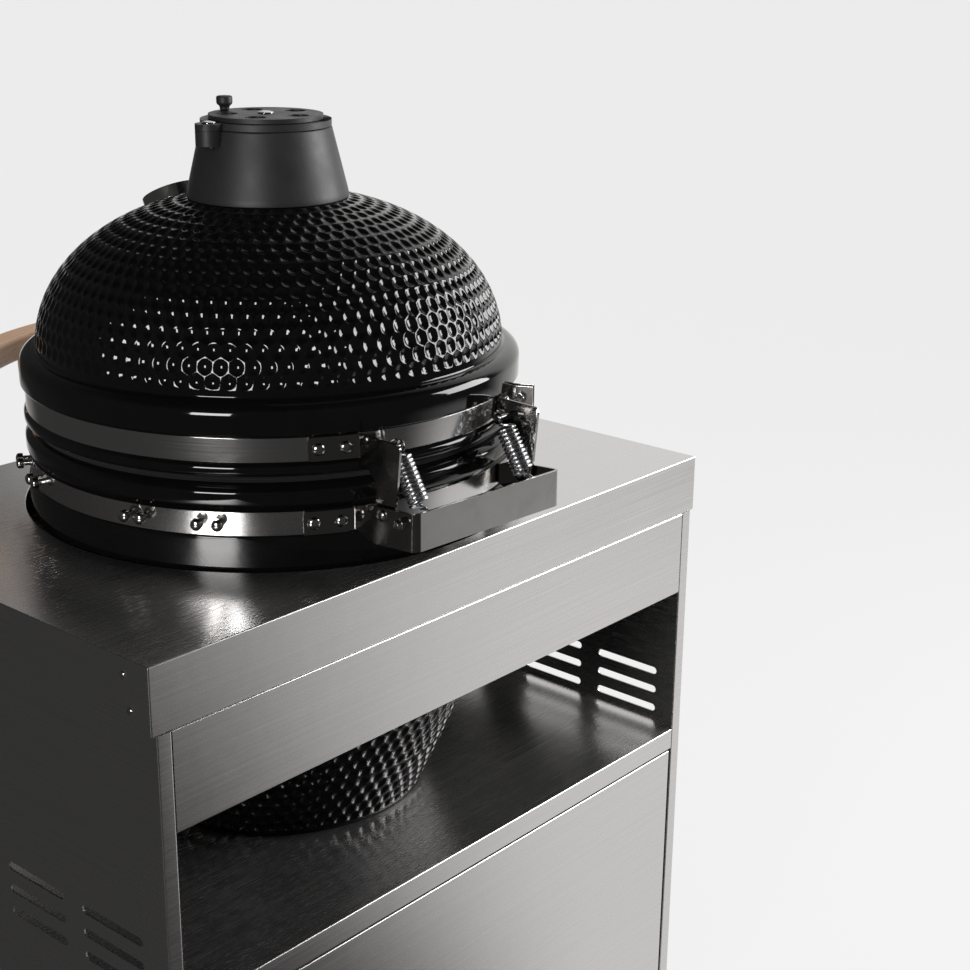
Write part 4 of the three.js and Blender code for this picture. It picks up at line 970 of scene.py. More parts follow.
def bolt_through(name, shank, head, head_height, reach):
    """A bolt along +Z through both sides of a joint, with a hexagon at either end."""
    bolt = turned(name, rounded([(0, -reach), (shank, -reach), (shank, reach), (0, reach)], 0.0005), 24)
    for side in (-1, 1):
        nut = hexagon("nut", head, head_height)
        nut.data.transform(Matrix.Translation((0, 0, reach - head_height)) if side > 0
                           else Matrix.Rotation(math.pi, 4, "X") @ Matrix.Translation((0, 0, reach - head_height)))
        cut(bolt, nut, "UNION")
    return smooth(bolt, 30)


for node, name, clamp, body in (("lower_band", "lower_strap", lower_clamp_angle, "root"),
                                ("upper_band", "upper_strap", upper_clamp_angle, "lid")):
    low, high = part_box(node)
    z0, z1 = low.z - worktop_level, high.z - worktop_level
    dress(strap(name, strap_line, z0, z1, clamp), body, strap_steel, "brushed_steel", node)
    bolt = bolt_through(f"{name}_bolt", 0.003, 0.0065, 0.005, ear_x + 0.0003 + 0.005)
    bolt.data.transform(to_clock(clamp) @ Matrix.Translation((0, band_outer + clamp_ear / 2, (z0 + z1) / 2)) @ along_x)
    dress(bolt, body, polished, "polished_steel", f"{node}_clamp_bolt")

cap_profile = [(0, 0), (cap_screw_shank, 0)]
thread_count = 6
for turn in range(thread_count):
    z = (turn + 0.5) * cap_screw_reach / thread_count
    cap_profile += [(cap_screw_shank * 0.86, z), (cap_screw_shank, z + cap_screw_reach / thread_count / 2)]
cap_top = cap_screw_reach + cap_screw_length
cap_profile += [(cap_screw_radius, cap_screw_reach + 0.0004), (cap_screw_radius, cap_top - 0.0035)]
for step in range(1, 6):
    angle = math.pi / 2 * step / 6
    cap_profile.append((cap_screw_radius * math.cos(angle), cap_top - 0.0035 + 0.0035 * math.sin(angle)))
cap_profile.append((0, cap_top))
cap_screw = turned("cap_screw", cap_profile, 24)
smooth(cap_screw, 40)
cap_screws = []
for angle in cap_screw_angles:
    for side in (-1, 1):
        place = to_clock(side * angle) @ Matrix.Translation(
            (0, band_outer - band_gauge / 2, lower_band_low + cap_screw_rise)) @ along_y
        cap_screws.append(copied(cap_screw, "band_cap_screw", place))
dress(joined(cap_screws, "band_cap_screws"), "root", polished, "polished_steel")
bpy.data.objects.remove(cap_screw)


# Lid hinge
# Plates laser-cut from 3 mm stainless and polished. The arms and the bracket are each
# bent from one piece, with tabs that lie on the bands and are held by domed screws.
# The arms turn on two bolts, and the springs run from their studs to a rod.
# The hinge plates take a darker copy of the polished stainless, #969492 in place of #c9c8c6. This is painted shade, for
# the dark room that these plates reflect.
hinge_steel_painted_dark = polished_stainless("hinge_plate_painted_dark", "#969492")
plate_gauge = 0.003
plate_fold = 0.0025
arm_offset = 0.101
ear_offset = arm_offset + plate_gauge + 0.002
hinge_y = band_outer + 0.0227
hinge_z = lower_band_high + 0.0019
rod_y = band_outer + 0.0532
rod_z = hinge_z - 0.0009
rod_radius = 0.0035
back_y = rod_y + 0.0185
back_bend = 0.008
arm_width = 0.060
arm_round = 0.007
arm_taper = 0.0058
arm_end = 0.013
arm_drop = 0.0187
arm_tab_angles = {"left": 8.5, "right": 10.8}
ear_tab_angle = 11.0
ear_height = 0.046
ear_low = lower_band_low - 0.0068
ear_top_shares = ((0, 0.7), (0.24, 0.87), (1, 1))
ear_low_shares = ((0, 0.2), (0.16, 0.14), (0.31, 0), (0.88, 0.1), (1, 0.12))
tab_round = 0.003
stud_y = band_outer + 0.0117
stud_z = upper_band_low + 0.012
stud_radius = 0.004
stud_flange = 0.007
spring_offset = arm_offset - 0.024
spring_wire = 0.004


def tab_columns(offset, tab_angle, low, high):
    """Columns along a tab on a band, from its rounded end to the fold at x = offset."""
    radius = band_outer + seat_gap + plate_gauge
    start = math.degrees(math.asin(offset / radius))
    columns = []
    for i in range(5):
        inset = tab_round * (1 - math.cos(math.pi / 2 * i / 4))
        rise = tab_round * (1 - math.sin(math.pi / 2 * i / 4))
        angle = start + tab_angle - math.degrees(inset / radius)
        columns.append((*round_clock(radius, angle), low + rise, high - rise))
    for i in range(1, 7):
        angle = start + tab_angle * (1 - i / 7) * 0.95
        columns.append((*round_clock(radius, angle), low, high))
    return columns, math.sqrt(radius ** 2 - offset ** 2)


def folded_at(columns, x, y, low, high):
    """Adds a rounded fold at a place in plan and the start of the plate beyond it."""
    ahead = rounded([columns[-1][:2], (x, y), (x, y + 4 * plate_fold)], plate_fold)
    for place in ahead[1:-1]:
        columns.append((*place, low, high))


def mirrored(piece):
    """Mirrors a piece in the middle plane."""
    piece.data.transform(Matrix.Diagonal((-1, 1, 1, 1)))
    edit(piece)
    return close(piece)


for name, tab_angle in arm_tab_angles.items():
    face_x = arm_offset + plate_gauge / 2
    columns, near = tab_columns(face_x, tab_angle, upper_band_low, upper_band_high)
    folded_at(columns, face_x, near, upper_band_low, upper_band_high)
    far = near + arm_width
    arm_low = [(near, upper_band_low), (hinge_y - arm_end - arm_taper / 2, upper_band_low - arm_drop)]
    for i in range(13):
        angle = math.pi * i / 12
        arm_low.append((hinge_y - arm_end * math.cos(angle), hinge_z - arm_end * math.sin(angle)))
    arm_low += [(far - arm_taper, hinge_z + arm_end), (far, upper_band_high - arm_round - 0.0002)]
    arm_high = [(near, upper_band_high), (far - arm_round, upper_band_high)]
    for i in range(1, 7):
        angle = math.pi / 2 * i / 6
        arm_high.append((far - arm_round * (1 - math.sin(angle)), upper_band_high - arm_round * (1 - math.cos(angle))))
    places = sorted({round(y, 7) for y, z in arm_low + arm_high if y > near + 2 * plate_fold})
    for y in places:
        columns.append((face_x, y, between(arm_low, y), between(arm_high, y)))
    arm = strip(f"hinge_plate_{name}", columns, plate_gauge)
    stud_reach = face_x - plate_gauge / 2 - (spring_offset - spring_wire / 2 - 2 * plate_gauge)
    stud = turned("spring_stud", rounded(
        [(0, 0), (stud_radius, 0), (stud_radius, stud_reach - plate_gauge), (stud_flange, stud_reach - plate_gauge),
         (stud_flange * 0.9, stud_reach - plate_gauge * 0.4), (stud_flange * 0.5, stud_reach), (0, stud_reach)],
        0.0012), 32)
    stud.data.transform(Matrix.Translation((face_x - plate_gauge / 2, stud_y, stud_z)) @ along_x
                        @ Matrix.Rotation(math.pi, 4, "X"))
    arm = joined([arm, smooth(stud, 40)], f"hinge_plate_{name}")
    if name == "left":
        mirrored(arm)
    arm.data.transform(kamado_place)
    dress(arm, "lid", hinge_steel_painted_dark, "polished_steel", f"hinge_arm_{name}")

face_x = ear_offset + plate_gauge / 2
half_line, near = tab_columns(face_x, ear_tab_angle, lower_band_low, lower_band_high)
ear_start = (ear_low + ear_height * 0.2, ear_low + ear_height * 0.7)
folded_at(half_line, face_x, near, *ear_start)
for i in range(1, 25):
    share = i / 24
    y = near + (back_y - back_bend - near) * share
    if y > near + 2 * plate_fold:
        u = (y - near) / (back_y - near)
        half_line.append((face_x, y, ear_low + ear_height * between(ear_low_shares, u),
                          ear_low + ear_height * between(ear_top_shares, u)))
for i in range(1, 9):
    angle = math.pi / 2 * i / 8
    y = back_y - back_bend * (1 - math.sin(angle))
    u = (y - near) / (back_y - near)
    half_line.append((face_x - back_bend * (1 - math.cos(angle)), y, ear_low + ear_height * between(ear_low_shares, u),
                      ear_low + ear_height * between(ear_top_shares, u)))
bracket = strip("hinge_bracket_plate", half_line + [(-x, y, z0, z1) for x, y, z0, z1 in reversed(half_line)], plate_gauge)
bracket.data.transform(kamado_place)
dress(bracket, "root", hinge_steel_painted_dark, "polished_steel", "hinge_bracket")

ear_face = face_x + seat_gap
inner_face = arm_offset - plate_gauge / 2 - seat_gap
head_radius = 0.0065
head_height = 0.005
pivot = button_screw("pivot", head_radius, head_height * 0.75, head_radius * 0.42)
for name, side in (("left", -1), ("right", 1)):
    shank = turned(f"pivot_bolt_{name}", [(0, inner_face - head_height), (0.004, inner_face - head_height),
                                          (0.004, ear_face), (0, ear_face)], 24)
    nut = hexagon("nut", head_radius, head_height)
    nut.data.transform(Matrix.Translation((0, 0, inner_face - head_height)))
    bolt = joined([smooth(shank), smooth(nut, 30), copied(pivot, "head", Matrix.Translation((0, 0, ear_face)))],
                  f"pivot_bolt_{name}")
    bolt.data.transform(Matrix.Translation((0, hinge_y, hinge_z)) @ along_x)
    if side < 0:
        mirrored(bolt)
    bolt.data.transform(kamado_place)
    dress(bolt, "root", polished, "polished_steel", f"hinge_bolt_{name}")

rod_end = ear_face + 2 * head_height
rod = turned("spring_anchor_rod", rounded([(0, -rod_end), (rod_radius, -rod_end), (rod_radius, rod_end), (0, rod_end)],
                                          0.0008), 32)
parts = [smooth(rod)]
for side in (-1, 1):
    nut = hexagon("nut", head_radius, head_height)
    dome = turned("dome", [(0, 0)] + [(0.0052 * math.cos(math.pi / 2 * i / 6), head_height + 0.0052 * math.sin(
        math.pi / 2 * i / 6)) for i in range(6)] + [(0, head_height + 0.0052)], 24)
    for part in (nut, dome):
        part.data.transform(Matrix.Rotation(0 if side > 0 else math.pi, 4, "X") @ Matrix.Translation((0, 0, ear_face)))
        parts.append(smooth(part, 40))
rod = joined(parts, "spring_anchor_rod")
rod.data.transform(kamado_place @ Matrix.Translation((0, rod_y, rod_z)) @ along_x)
dress(rod, "root", polished, "polished_steel", "spring_rod")

tab_screw_radius = 0.0068
tab_screw_height = 0.0038
tab_screw_shares = (0.26, 0.8)
tab_screw = button_screw("tab_screw", tab_screw_radius, tab_screw_height, tab_screw_radius * 0.42)
tab_face = band_outer + seat_gap + plate_gauge
lid_screws, base_screws = [], []
for side in (-1, 1):
    arm_start = math.degrees(math.asin((arm_offset + plate_gauge / 2) / tab_face))
    arm_tab = arm_tab_angles["right" if side > 0 else "left"]
    shares = tab_screw_shares if side > 0 else (0.6,)
    for share in shares:
        place = to_clock(side * (arm_start + arm_tab * share)) @ Matrix.Translation(
            (0, tab_face, (upper_band_low + upper_band_high) / 2)) @ along_y
        lid_screws.append(copied(tab_screw, "tab_screw", place))
    ear_begin = math.degrees(math.asin((ear_offset + plate_gauge / 2) / tab_face))
    for share in tab_screw_shares:
        place = to_clock(side * (ear_begin + ear_tab_angle * share)) @ Matrix.Translation(
            (0, tab_face, (lower_band_low + lower_band_high) / 2)) @ along_y
        base_screws.append(copied(tab_screw, "tab_screw", place))
dress(joined(lid_screws, "upper_tab_screws"), "lid", polished, "polished_steel")
dress(joined(base_screws, "lower_tab_screws"), "root", polished, "polished_steel")
for piece in (tab_screw, pivot):
    bpy.data.objects.remove(piece)


# Hinge springs
# Extension springs wound from 4 mm spring wire and chromed, with a full loop at each
# end: the upper one hooks over an arm's stud, the lower one round the rod.
spring_radius = 0.0096
spring_curls = 11
spring_lead = 0.0129
loop_radius = 0.0076
loop_start = -60
loop_angle = 240
hook_gap = 0.0009
loop_steps = 10
curl_steps = 16
spring_lean = 0.17


def chromed_wire():
    # Spring wire under bright nickel and chromium: a blue-grey mirror, with the faint
    # lengthwise draw marks of the wire and a few dull specks
    made, tree = new_material("chromed_wire")
    place = add(tree, "TexCoord")
    specks = add(tree, "TexNoise", {"Scale": 420, "Detail": 3}, {"Vector": place.outputs["Object"]})
    gloss = add(tree, "MapRange", {"From Min": 0.45, "From Max": 0.8, "To Min": 0.2, "To Max": 0.34},
                {"Value": specks.outputs["Fac"]})
    bump = add(tree, "Bump", {"Strength": 0.15, "Distance": 0.00004}, {"Height": specks.outputs["Fac"]})
    shader = add(tree, "BsdfPrincipled", {"Metallic": 1, "Base Color": linear("#d9dadc")},
                 {"Roughness": gloss.outputs[0], "Normal": bump.outputs[0]})
    add(tree, "OutputMaterial", links={"Surface": shader.outputs[0]})
    return made


def spring_path(x):
    """The spring's middle line from the loop on the stud to the loop on the rod, and a way for it to shorten, down its
    axis and leaning aside, which nothing here uses."""
    top, low = Vector((x, stud_y, stud_z)), Vector((x, rod_y, rod_z))
    span = (low - top).length
    down = (low - top).normalized()
    across = Vector((1, 0, 0))
    beside = down.cross(across)
    seat_top = loop_radius - spring_wire / 2 - stud_radius - hook_gap
    seat_low = loop_radius - spring_wire / 2 - rod_radius - hook_gap

    def at(s, a, b):
        return top + down * s + across * a + beside * b

    angles = [math.radians(loop_start + loop_angle * i / loop_steps) for i in range(loop_steps + 1)]
    line = [at(seat_top - loop_radius * math.cos(a), 0, loop_radius * math.sin(a)) for a in angles]
    coil = span - 2 * spring_lead
    turns = spring_curls * curl_steps
    for i in range(curl_steps // 8, turns - curl_steps // 8 + 1):
        angle = math.pi + math.tau * i / curl_steps
        line.append(at(spring_lead + coil * i / turns, spring_radius * math.cos(angle), spring_radius * math.sin(angle)))
    line += [at(span - seat_low + loop_radius * math.cos(a), 0, -loop_radius * math.sin(a)) for a in reversed(angles)]
    return line, (down + beside * spring_lean).normalized()


def wire_along(name, line, radius):
    """Round wire along a line of points."""
    curve = bpy.data.curves.new(name, "CURVE")
    curve.dimensions = "3D"
    curve.bevel_depth = radius
    curve.bevel_resolution = 3
    curve.resolution_u = 2
    curve.use_fill_caps = True
    spline = curve.splines.new("BEZIER")
    spline.bezier_points.add(len(line) - 1)
    for point, place in zip(spline.bezier_points, line):
        point.co = place
        point.handle_left_type = point.handle_right_type = "AUTO"
    piece = bpy.data.objects.new(name, curve)
    bpy.context.scene.collection.objects.link(piece)
    bpy.ops.object.select_all(action="DESELECT")
    piece.select_set(True)
    bpy.context.view_layer.objects.active = piece
    bpy.ops.object.convert(target="MESH")
    edit(piece)
    close(piece)
    bpy.ops.object.shade_smooth_by_angle(angle=math.radians(50))
    return piece


chrome = chromed_wire()
for name, side in (("left", -1), ("right", 1)):
    line, shortening = spring_path(side * spring_offset)
    spring = wire_along(f"tension_spring_{name}", line, spring_wire / 2)
    spring.data.transform(kamado_place)
    dress(spring, "lid", chrome, "polished_steel", f"hinge_spring_{name}")
    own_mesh(spring)


# Chimney
# A conical collar cast in iron and painted satin black, seated on the lid, with a plate
# that swings aside on a pin and a daisy wheel that turns on the plate to set the draught.
def cast_iron():
    # Sand-cast iron under heat-proof matt black paint: the sand's grain of about 0.7 mm
    # shows through, with a soft sheen on the high spots
    made, tree = new_material("cast_iron")
    place = add(tree, "TexCoord")
    sand = add(tree, "TexNoise", {"Scale": 900, "Detail": 4, "Roughness": 0.65}, {"Vector": place.outputs["Object"]})
    swell = add(tree, "TexNoise", {"Scale": 40, "Detail": 2}, {"Vector": place.outputs["Object"]})
    tone = add(tree, "Mix", {"data_type": "RGBA", 6: linear("#161617"), 7: linear("#262627")}, {0: sand.outputs["Fac"]})
    gloss = add(tree, "MapRange", {"From Min": 0.3, "From Max": 0.7, "To Min": 0.42, "To Max": 0.5},
                {"Value": swell.outputs["Fac"]})
    wave = add(tree, "Bump", {"Strength": 0.1, "Distance": 0.0005}, {"Height": swell.outputs["Fac"]})
    grain = add(tree, "Bump", {"Strength": 0.5, "Distance": 0.00025},
                {"Height": sand.outputs["Fac"], "Normal": wave.outputs[0]})
    shader = add(tree, "BsdfPrincipled", {"IOR": 1.5},
                 {"Base Color": tone.outputs[2], "Roughness": gloss.outputs[0], "Normal": grain.outputs[0]})
    add(tree, "OutputMaterial", links={"Surface": shader.outputs[0]})
    return made


iron = cast_iron()
collar_base = vent_radius + collar_lap
collar_top = collar_base - 0.018
collar_wall = 0.009
collar_neck = 0.016
collar_round = 0.002
vent_pin_radius = 0.006
vent_ear_x = collar_top + vent_pin_radius
plate_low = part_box("vent_plate")[0].z - worktop_level
plate_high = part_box("vent_plate")[1].z - worktop_level
wheel_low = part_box("vent_wheel")[0].z - worktop_level
wheel_radius = collar_top - collar_wall
wheel_thickness = 0.005
petal_radius = 0.0115
petal_circle = wheel_radius - 0.021
petal_count = 5
vent_knob_radius = 0.009
vent_knob_height = 0.016
rivet_radius = vent_knob_radius / 2
cap_thickness = 0.002


def seat_at(radius):
    """The height just above the dome at a radius."""
    return dome_at(dome_angle(radius))[1] + seat_gap


def petals(low, high):
    """The round cutters of the vent's openings."""
    tools = []
    for i in range(petal_count):
        angle = math.tau * i / petal_count + math.pi
        tools.append(begun("cylinder", "petal", vertices=48, radius=petal_radius, depth=high - low + 0.01,
                           location=(petal_circle * math.cos(angle), petal_circle * math.sin(angle), (low + high) / 2)))
    return joined(tools, "petals")


def softened(piece, width=0.0008, segments=3, angle=35):
    """Rounds the sharp edges of a casting and shades it smooth."""
    shaped_by(piece, "BEVEL", width=width, segments=segments, limit_method="ANGLE", angle_limit=math.radians(angle),
              harden_normals=False)
    return smooth(piece)


neck = vent_radius - 2 * seat_gap
collar_high = plate_low - seat_gap
collar = turned("chimney_casting", rounded([
    (collar_base, seat_at(collar_base)), (collar_base - 0.0005, seat_at(collar_base) + 0.006),
    (collar_top, collar_high), (collar_top - collar_wall, collar_high),
    (neck - collar_wall, seat_at(vent_radius)), (neck - collar_wall, seat_at(vent_radius) - collar_neck),
    (neck, seat_at(vent_radius) - collar_neck), (neck, seat_at(vent_radius)),
    ((neck + collar_base) / 2, seat_at((neck + collar_base) / 2))], collar_round, closed=True), 128, closed=True)
ear = begun("cylinder", "collar_ear", vertices=64, radius=vent_pin_radius + collar_wall, depth=collar_neck,
            location=(vent_ear_x, 0, collar_high - collar_neck / 2))
cut(ear, begun("cylinder", "throat", vertices=128, radius=collar_top - 0.003, depth=1, location=(0, 0, collar_high)))
cut(collar, ear, "UNION")
cut(collar, begun("cylinder", "bore", vertices=32, radius=vent_pin_radius + 0.0003, depth=0.04,
                  location=(vent_ear_x, 0, collar_high)))
softened(collar, 0.0007, 2, 50)
collar.data.transform(kamado_place)
dress(collar, "lid", iron, "cast_iron", "chimney_collar")

vent = begun("cylinder", "vent_casting", vertices=128, radius=collar_top, depth=plate_high - plate_low,
             location=(0, 0, (plate_low + plate_high) / 2))
cut(vent, begun("cylinder", "vent_ear", vertices=64, radius=vent_pin_radius + collar_wall,
                depth=plate_high - plate_low, location=(vent_ear_x, 0, (plate_low + plate_high) / 2)), "UNION")
cut(vent, petals(plate_low, plate_high))
for x, radius in ((vent_ear_x, vent_pin_radius + 0.0003), (0, rivet_radius + 0.0003)):
    cut(vent, begun("cylinder", "bore", vertices=32, radius=radius, depth=0.04, location=(x, 0, plate_low)))
softened(vent, 0.0009)
vent.data.transform(kamado_place)
dress(vent, "vent_plate", iron, "cast_iron", "vent_plate")

wheel_high = wheel_low + wheel_thickness
wheel = begun("cylinder", "daisy_wheel", vertices=128, radius=wheel_radius, depth=wheel_thickness,
              location=(0, 0, (wheel_low + wheel_high) / 2))
cut(wheel, petals(wheel_low, wheel_high))
cut(wheel, begun("cylinder", "bore", vertices=32, radius=rivet_radius + 0.0003, depth=0.04, location=(0, 0, wheel_low)))
softened(wheel, 0.0009)
knob = turned("wheel_knob", rounded([
    (0, 0), (vent_knob_radius * 0.6, 0), (vent_knob_radius * 0.6, vent_knob_height * 0.3),
    (vent_knob_radius, vent_knob_height * 0.45), (vent_knob_radius, vent_knob_height), (0, vent_knob_height)],
    0.0025, 5), 48)
knob_angle = -math.tau / petal_count
knob_reach = wheel_radius - vent_knob_radius
knob.data.transform(Matrix.Translation(
    (knob_reach * math.cos(knob_angle), knob_reach * math.sin(knob_angle), wheel_high)))
wheel = joined([wheel, smooth(knob)], "daisy_wheel")
wheel.data.transform(kamado_place)
dress(wheel, "vent_wheel", iron, "cast_iron", "vent_wheel")

for node, body, x, radius, cap, bottom, top in (
        ("vent_rivet", "vent_plate", 0, rivet_radius, vent_knob_radius, plate_low, wheel_high),
        ("vent_pin", "lid", vent_ear_x, vent_pin_radius, vent_pin_radius + 0.002, collar_high - collar_neck, plate_high)):
    cap_low = top + seat_gap
    rivet = turned(node.replace("vent", "turned"), rounded([
        (0, bottom), (radius, bottom), (radius, cap_low), (cap, cap_low), (cap, cap_low + cap_thickness * 0.5),
        (cap * 0.6, cap_low + cap_thickness), (0, cap_low + cap_thickness)], 0.0005), 48)
    rivet.data.transform(kamado_place @ Matrix.Translation((x, 0, 0)))
    dress(smooth(rivet), body, polished, "polished_steel", node)


# Lid handle
# A curved bar of light hardwood, routed round on all edges and oiled, screwed to two
# steel brackets that are riveted to the upper band.
def oiled_wood():
    # Light hardwood cut along the bar and oiled: tan, with darker growth lines that
    # follow the bend 4 to 6 mm apart, and fine open pores
    made, tree = new_material("oiled_wood")
    wrapped = round_the_kamado(tree)
    rings = add(tree, "Mapping", {"Scale": (6, 260, 260)}, {"Vector": wrapped})
    growth = add(tree, "TexNoise", {"Scale": 1, "Detail": 3, "Distortion": 0.6}, {"Vector": rings.outputs[0]})
    stretched = add(tree, "Mapping", {"Scale": (90, 1900, 1900)}, {"Vector": wrapped})
    pores = add(tree, "TexNoise", {"Scale": 1, "Detail": 2}, {"Vector": stretched.outputs[0]})
    tone = add(tree, "Mix", {"data_type": "RGBA", 6: linear("#c99b78"), 7: linear("#e2bc9b")},
               {0: growth.outputs["Fac"]})
    open_pores = add(tree, "MapRange", {"From Min": 0.32, "From Max": 0.45, "To Min": 0.65, "To Max": 1},
                     {"Value": pores.outputs["Fac"]})
    shade = add(tree, "Mix", {"data_type": "RGBA", "blend_type": "MULTIPLY", 0: 1},
                {6: tone.outputs[2], 7: open_pores.outputs[0]})
    bump = add(tree, "Bump", {"Strength": 0.25, "Distance": 0.0003}, {"Height": pores.outputs["Fac"]})
    shader = add(tree, "BsdfPrincipled", {"Roughness": 0.42, "IOR": 1.48},
                 {"Base Color": shade.outputs[2], "Normal": bump.outputs[0]})
    add(tree, "OutputMaterial", links={"Surface": shader.outputs[0]})
    return made


wood = oiled_wood()
handle_inner = band_outer + 0.0567
handle_outer = handle_inner + 0.036
handle_low = upper_band_low + 0.0053
handle_height = 0.029
handle_round = 0.007
handle_half_angle = 36
handle_steps = 48
bracket_angle = 17
bracket_tab_half = 4.5
bracket_flange = 0.026
bracket_flange_height = 0.016

section = rounded([(handle_inner, handle_low), (handle_outer, handle_low), (handle_outer, handle_low + handle_height),
                   (handle_inner, handle_low + handle_height)], handle_round, 5, closed=True)
handle = drawn("wooden_bar", [(0, -r, z) for r, z in section], [(i, (i + 1) % len(section)) for i in range(len(section))],
               [range(len(section))])
handle.data.transform(Matrix.Rotation(-math.radians(handle_half_angle), 4, "Z"))
edit(handle)
bpy.ops.mesh.select_all(action="SELECT")
bpy.ops.mesh.spin(steps=handle_steps, angle=math.radians(2 * handle_half_angle), center=(0, 0, 0), axis=(0, 0, -1))
pick(handle, "VERT", lambda vertex: vertex.is_boundary)
bpy.ops.mesh.edge_face_add()
close(handle)
shaped_by(handle, "BEVEL", width=0.004, segments=4, limit_method="ANGLE", angle_limit=math.radians(60))
handle.data.transform(kamado_place)
dress(smooth(handle, 50), "lid", wood, "light_wood", "lid_handle")

for name, side in (("left", 1), ("right", -1)):
    radius = band_outer + seat_gap + plate_gauge
    columns = []
    for i in range(9):
        angle = bracket_tab_half - 2 * bracket_tab_half * i / 8
        rise = tab_round * 0.6 if i in (0, 8) else 0
        columns.append((*round_clock(radius, angle), upper_band_low + rise, upper_band_high - rise))
    tab = strip("handle_tab", columns, plate_gauge)
    middle = handle_low + handle_height / 2
    flange_y = handle_inner - 0.0006
    drop = handle_inner - math.sqrt(handle_inner ** 2 - (bracket_flange / 2) ** 2)
    plate = drawn("handle_plate", [
        (-plate_gauge / 2, y, z) for y, z in (
            (radius - plate_gauge / 2, upper_band_low + 0.001), (flange_y - drop - plate_gauge, middle - bracket_flange_height / 2),
            (flange_y - drop - plate_gauge, middle + bracket_flange_height / 2), (radius - plate_gauge / 2, upper_band_high - 0.001))],
        [], [(0, 1, 2, 3)])
    edit(plate)
    bpy.ops.mesh.select_all(action="SELECT")
    pulled((plate_gauge, 0, 0))
    close(plate)
    flange = begun("cube", "handle_flange", size=1, scale=(bracket_flange, plate_gauge, bracket_flange_height),
                   location=(0, flange_y - drop - plate_gauge / 2, middle))
    cut(flange, plate, "UNION")
    softened(flange, 0.0005, 2)
    bracket = joined([tab, flange], f"handle_bracket_plate_{name}")
    bracket.data.transform(to_clock(180 + side * bracket_angle))
    dress(bracket, "lid", polished, "polished_steel", f"handle_bracket_{name}")


# Thermometer
# A dial in a turned stainless case, set square to the dome on the handle side, with its
# stem through the lid. The needle turns in front of an enamelled dial, behind glass.
def enamelled_dial():
    # Vitreous enamel on steel: even, very slightly warm white, with a fine ripple
    made, tree = new_material("enamelled_dial")
    place = add(tree, "TexCoord")
    ripple = add(tree, "TexNoise", {"Scale": 220, "Detail": 2}, {"Vector": place.outputs["Object"]})
    tone = add(tree, "Mix", {"data_type": "RGBA", 6: linear("#e6e4de"), 7: linear("#efeeea")}, {0: ripple.outputs["Fac"]})
    bump = add(tree, "Bump", {"Strength": 0.1, "Distance": 0.0001}, {"Height": ripple.outputs["Fac"]})
    shader = add(tree, "BsdfPrincipled", {"Roughness": 0.35, "IOR": 1.5},
                 {"Base Color": tone.outputs[2], "Normal": bump.outputs[0]})
    add(tree, "OutputMaterial", links={"Surface": shader.outputs[0]})
    return made


def painted(name, dark, light):
    # Stoving enamel on small steel parts and screen-printed marks: flat colour, with a
    # slight orange peel of 1 mm
    made, tree = new_material(name)
    place = add(tree, "TexCoord")
    peel = add(tree, "TexNoise", {"Scale": 1000, "Detail": 2}, {"Vector": place.outputs["Object"]})
    tone = add(tree, "Mix", {"data_type": "RGBA", 6: linear(dark), 7: linear(light)}, {0: peel.outputs["Fac"]})
    bump = add(tree, "Bump", {"Strength": 0.15, "Distance": 0.00005}, {"Height": peel.outputs["Fac"]})
    shader = add(tree, "BsdfPrincipled", {"Roughness": 0.4, "IOR": 1.5},
                 {"Base Color": tone.outputs[2], "Normal": bump.outputs[0]})
    add(tree, "OutputMaterial", links={"Surface": shader.outputs[0]})
    return made


def clear_glass():
    # Toughened glass: clear, with faint smears on the outside
    made, tree = new_material("clear_glass")
    place = add(tree, "TexCoord")
    smears = add(tree, "TexNoise", {"Scale": 60, "Detail": 4}, {"Vector": place.outputs["Object"]})
    gloss = add(tree, "MapRange", {"From Min": 0.4, "From Max": 0.8, "To Min": 0.01, "To Max": 0.08},
                {"Value": smears.outputs["Fac"]})
    shader = add(tree, "BsdfPrincipled", {"Transmission Weight": 1, "IOR": 1.5, "Base Color": linear("#fbfdfd")},
                 {"Roughness": gloss.outputs[0]})
    add(tree, "OutputMaterial", links={"Surface": shader.outputs[0]})
    return made


gauge_radius = 0.037
gauge_bezel = 0.005
gauge_stem = 0.005
gauge_stem_length = 0.060
gauge_sheet = 0.002
gauge_air = 0.0008
gauge_share = 0.655
gauge_cold = 135
gauge_marks = 28
gauge_numbers = ("0", "100", "200", "300", "400")

gauge_dome_start = upper_band_high + 0.0491
gauge_dome_height = 0.158
gauge_dome_power = 2.1


def gauge_dome_at(angle):
    """Radius and height on the outline that the needle's axis is square to."""
    return (dome_radius * math.cos(angle) ** (2 / gauge_dome_power),
            gauge_dome_start + gauge_dome_height * math.sin(angle))


slope = math.acos(gauge_share ** (gauge_dome_power / 2))
gauge_r, gauge_z = gauge_dome_at(slope)
below, above = gauge_dome_at(slope - 0.001), gauge_dome_at(slope + 0.001)
outward = Vector((0, below[1] - above[1], below[0] - above[0])).normalized()
across = Vector((1, 0, 0))
upward = outward.cross(across)
gauge_place = kamado_place @ Matrix((
    (across.x, upward.x, outward.x, 0), (across.y, upward.y, outward.y, -gauge_r),
    (across.z, upward.z, outward.z, gauge_z), (0, 0, 0, 1)))
gauge_inner = gauge_radius - gauge_bezel
dial_low = seat_gap + gauge_bezel + seat_gap
dial_top = dial_low + gauge_sheet
hub_top = dial_top + seat_gap + gauge_sheet
glass_low = hub_top + gauge_air
glass_top = glass_low + gauge_sheet
gauge_depth = glass_top + seat_gap + gauge_sheet

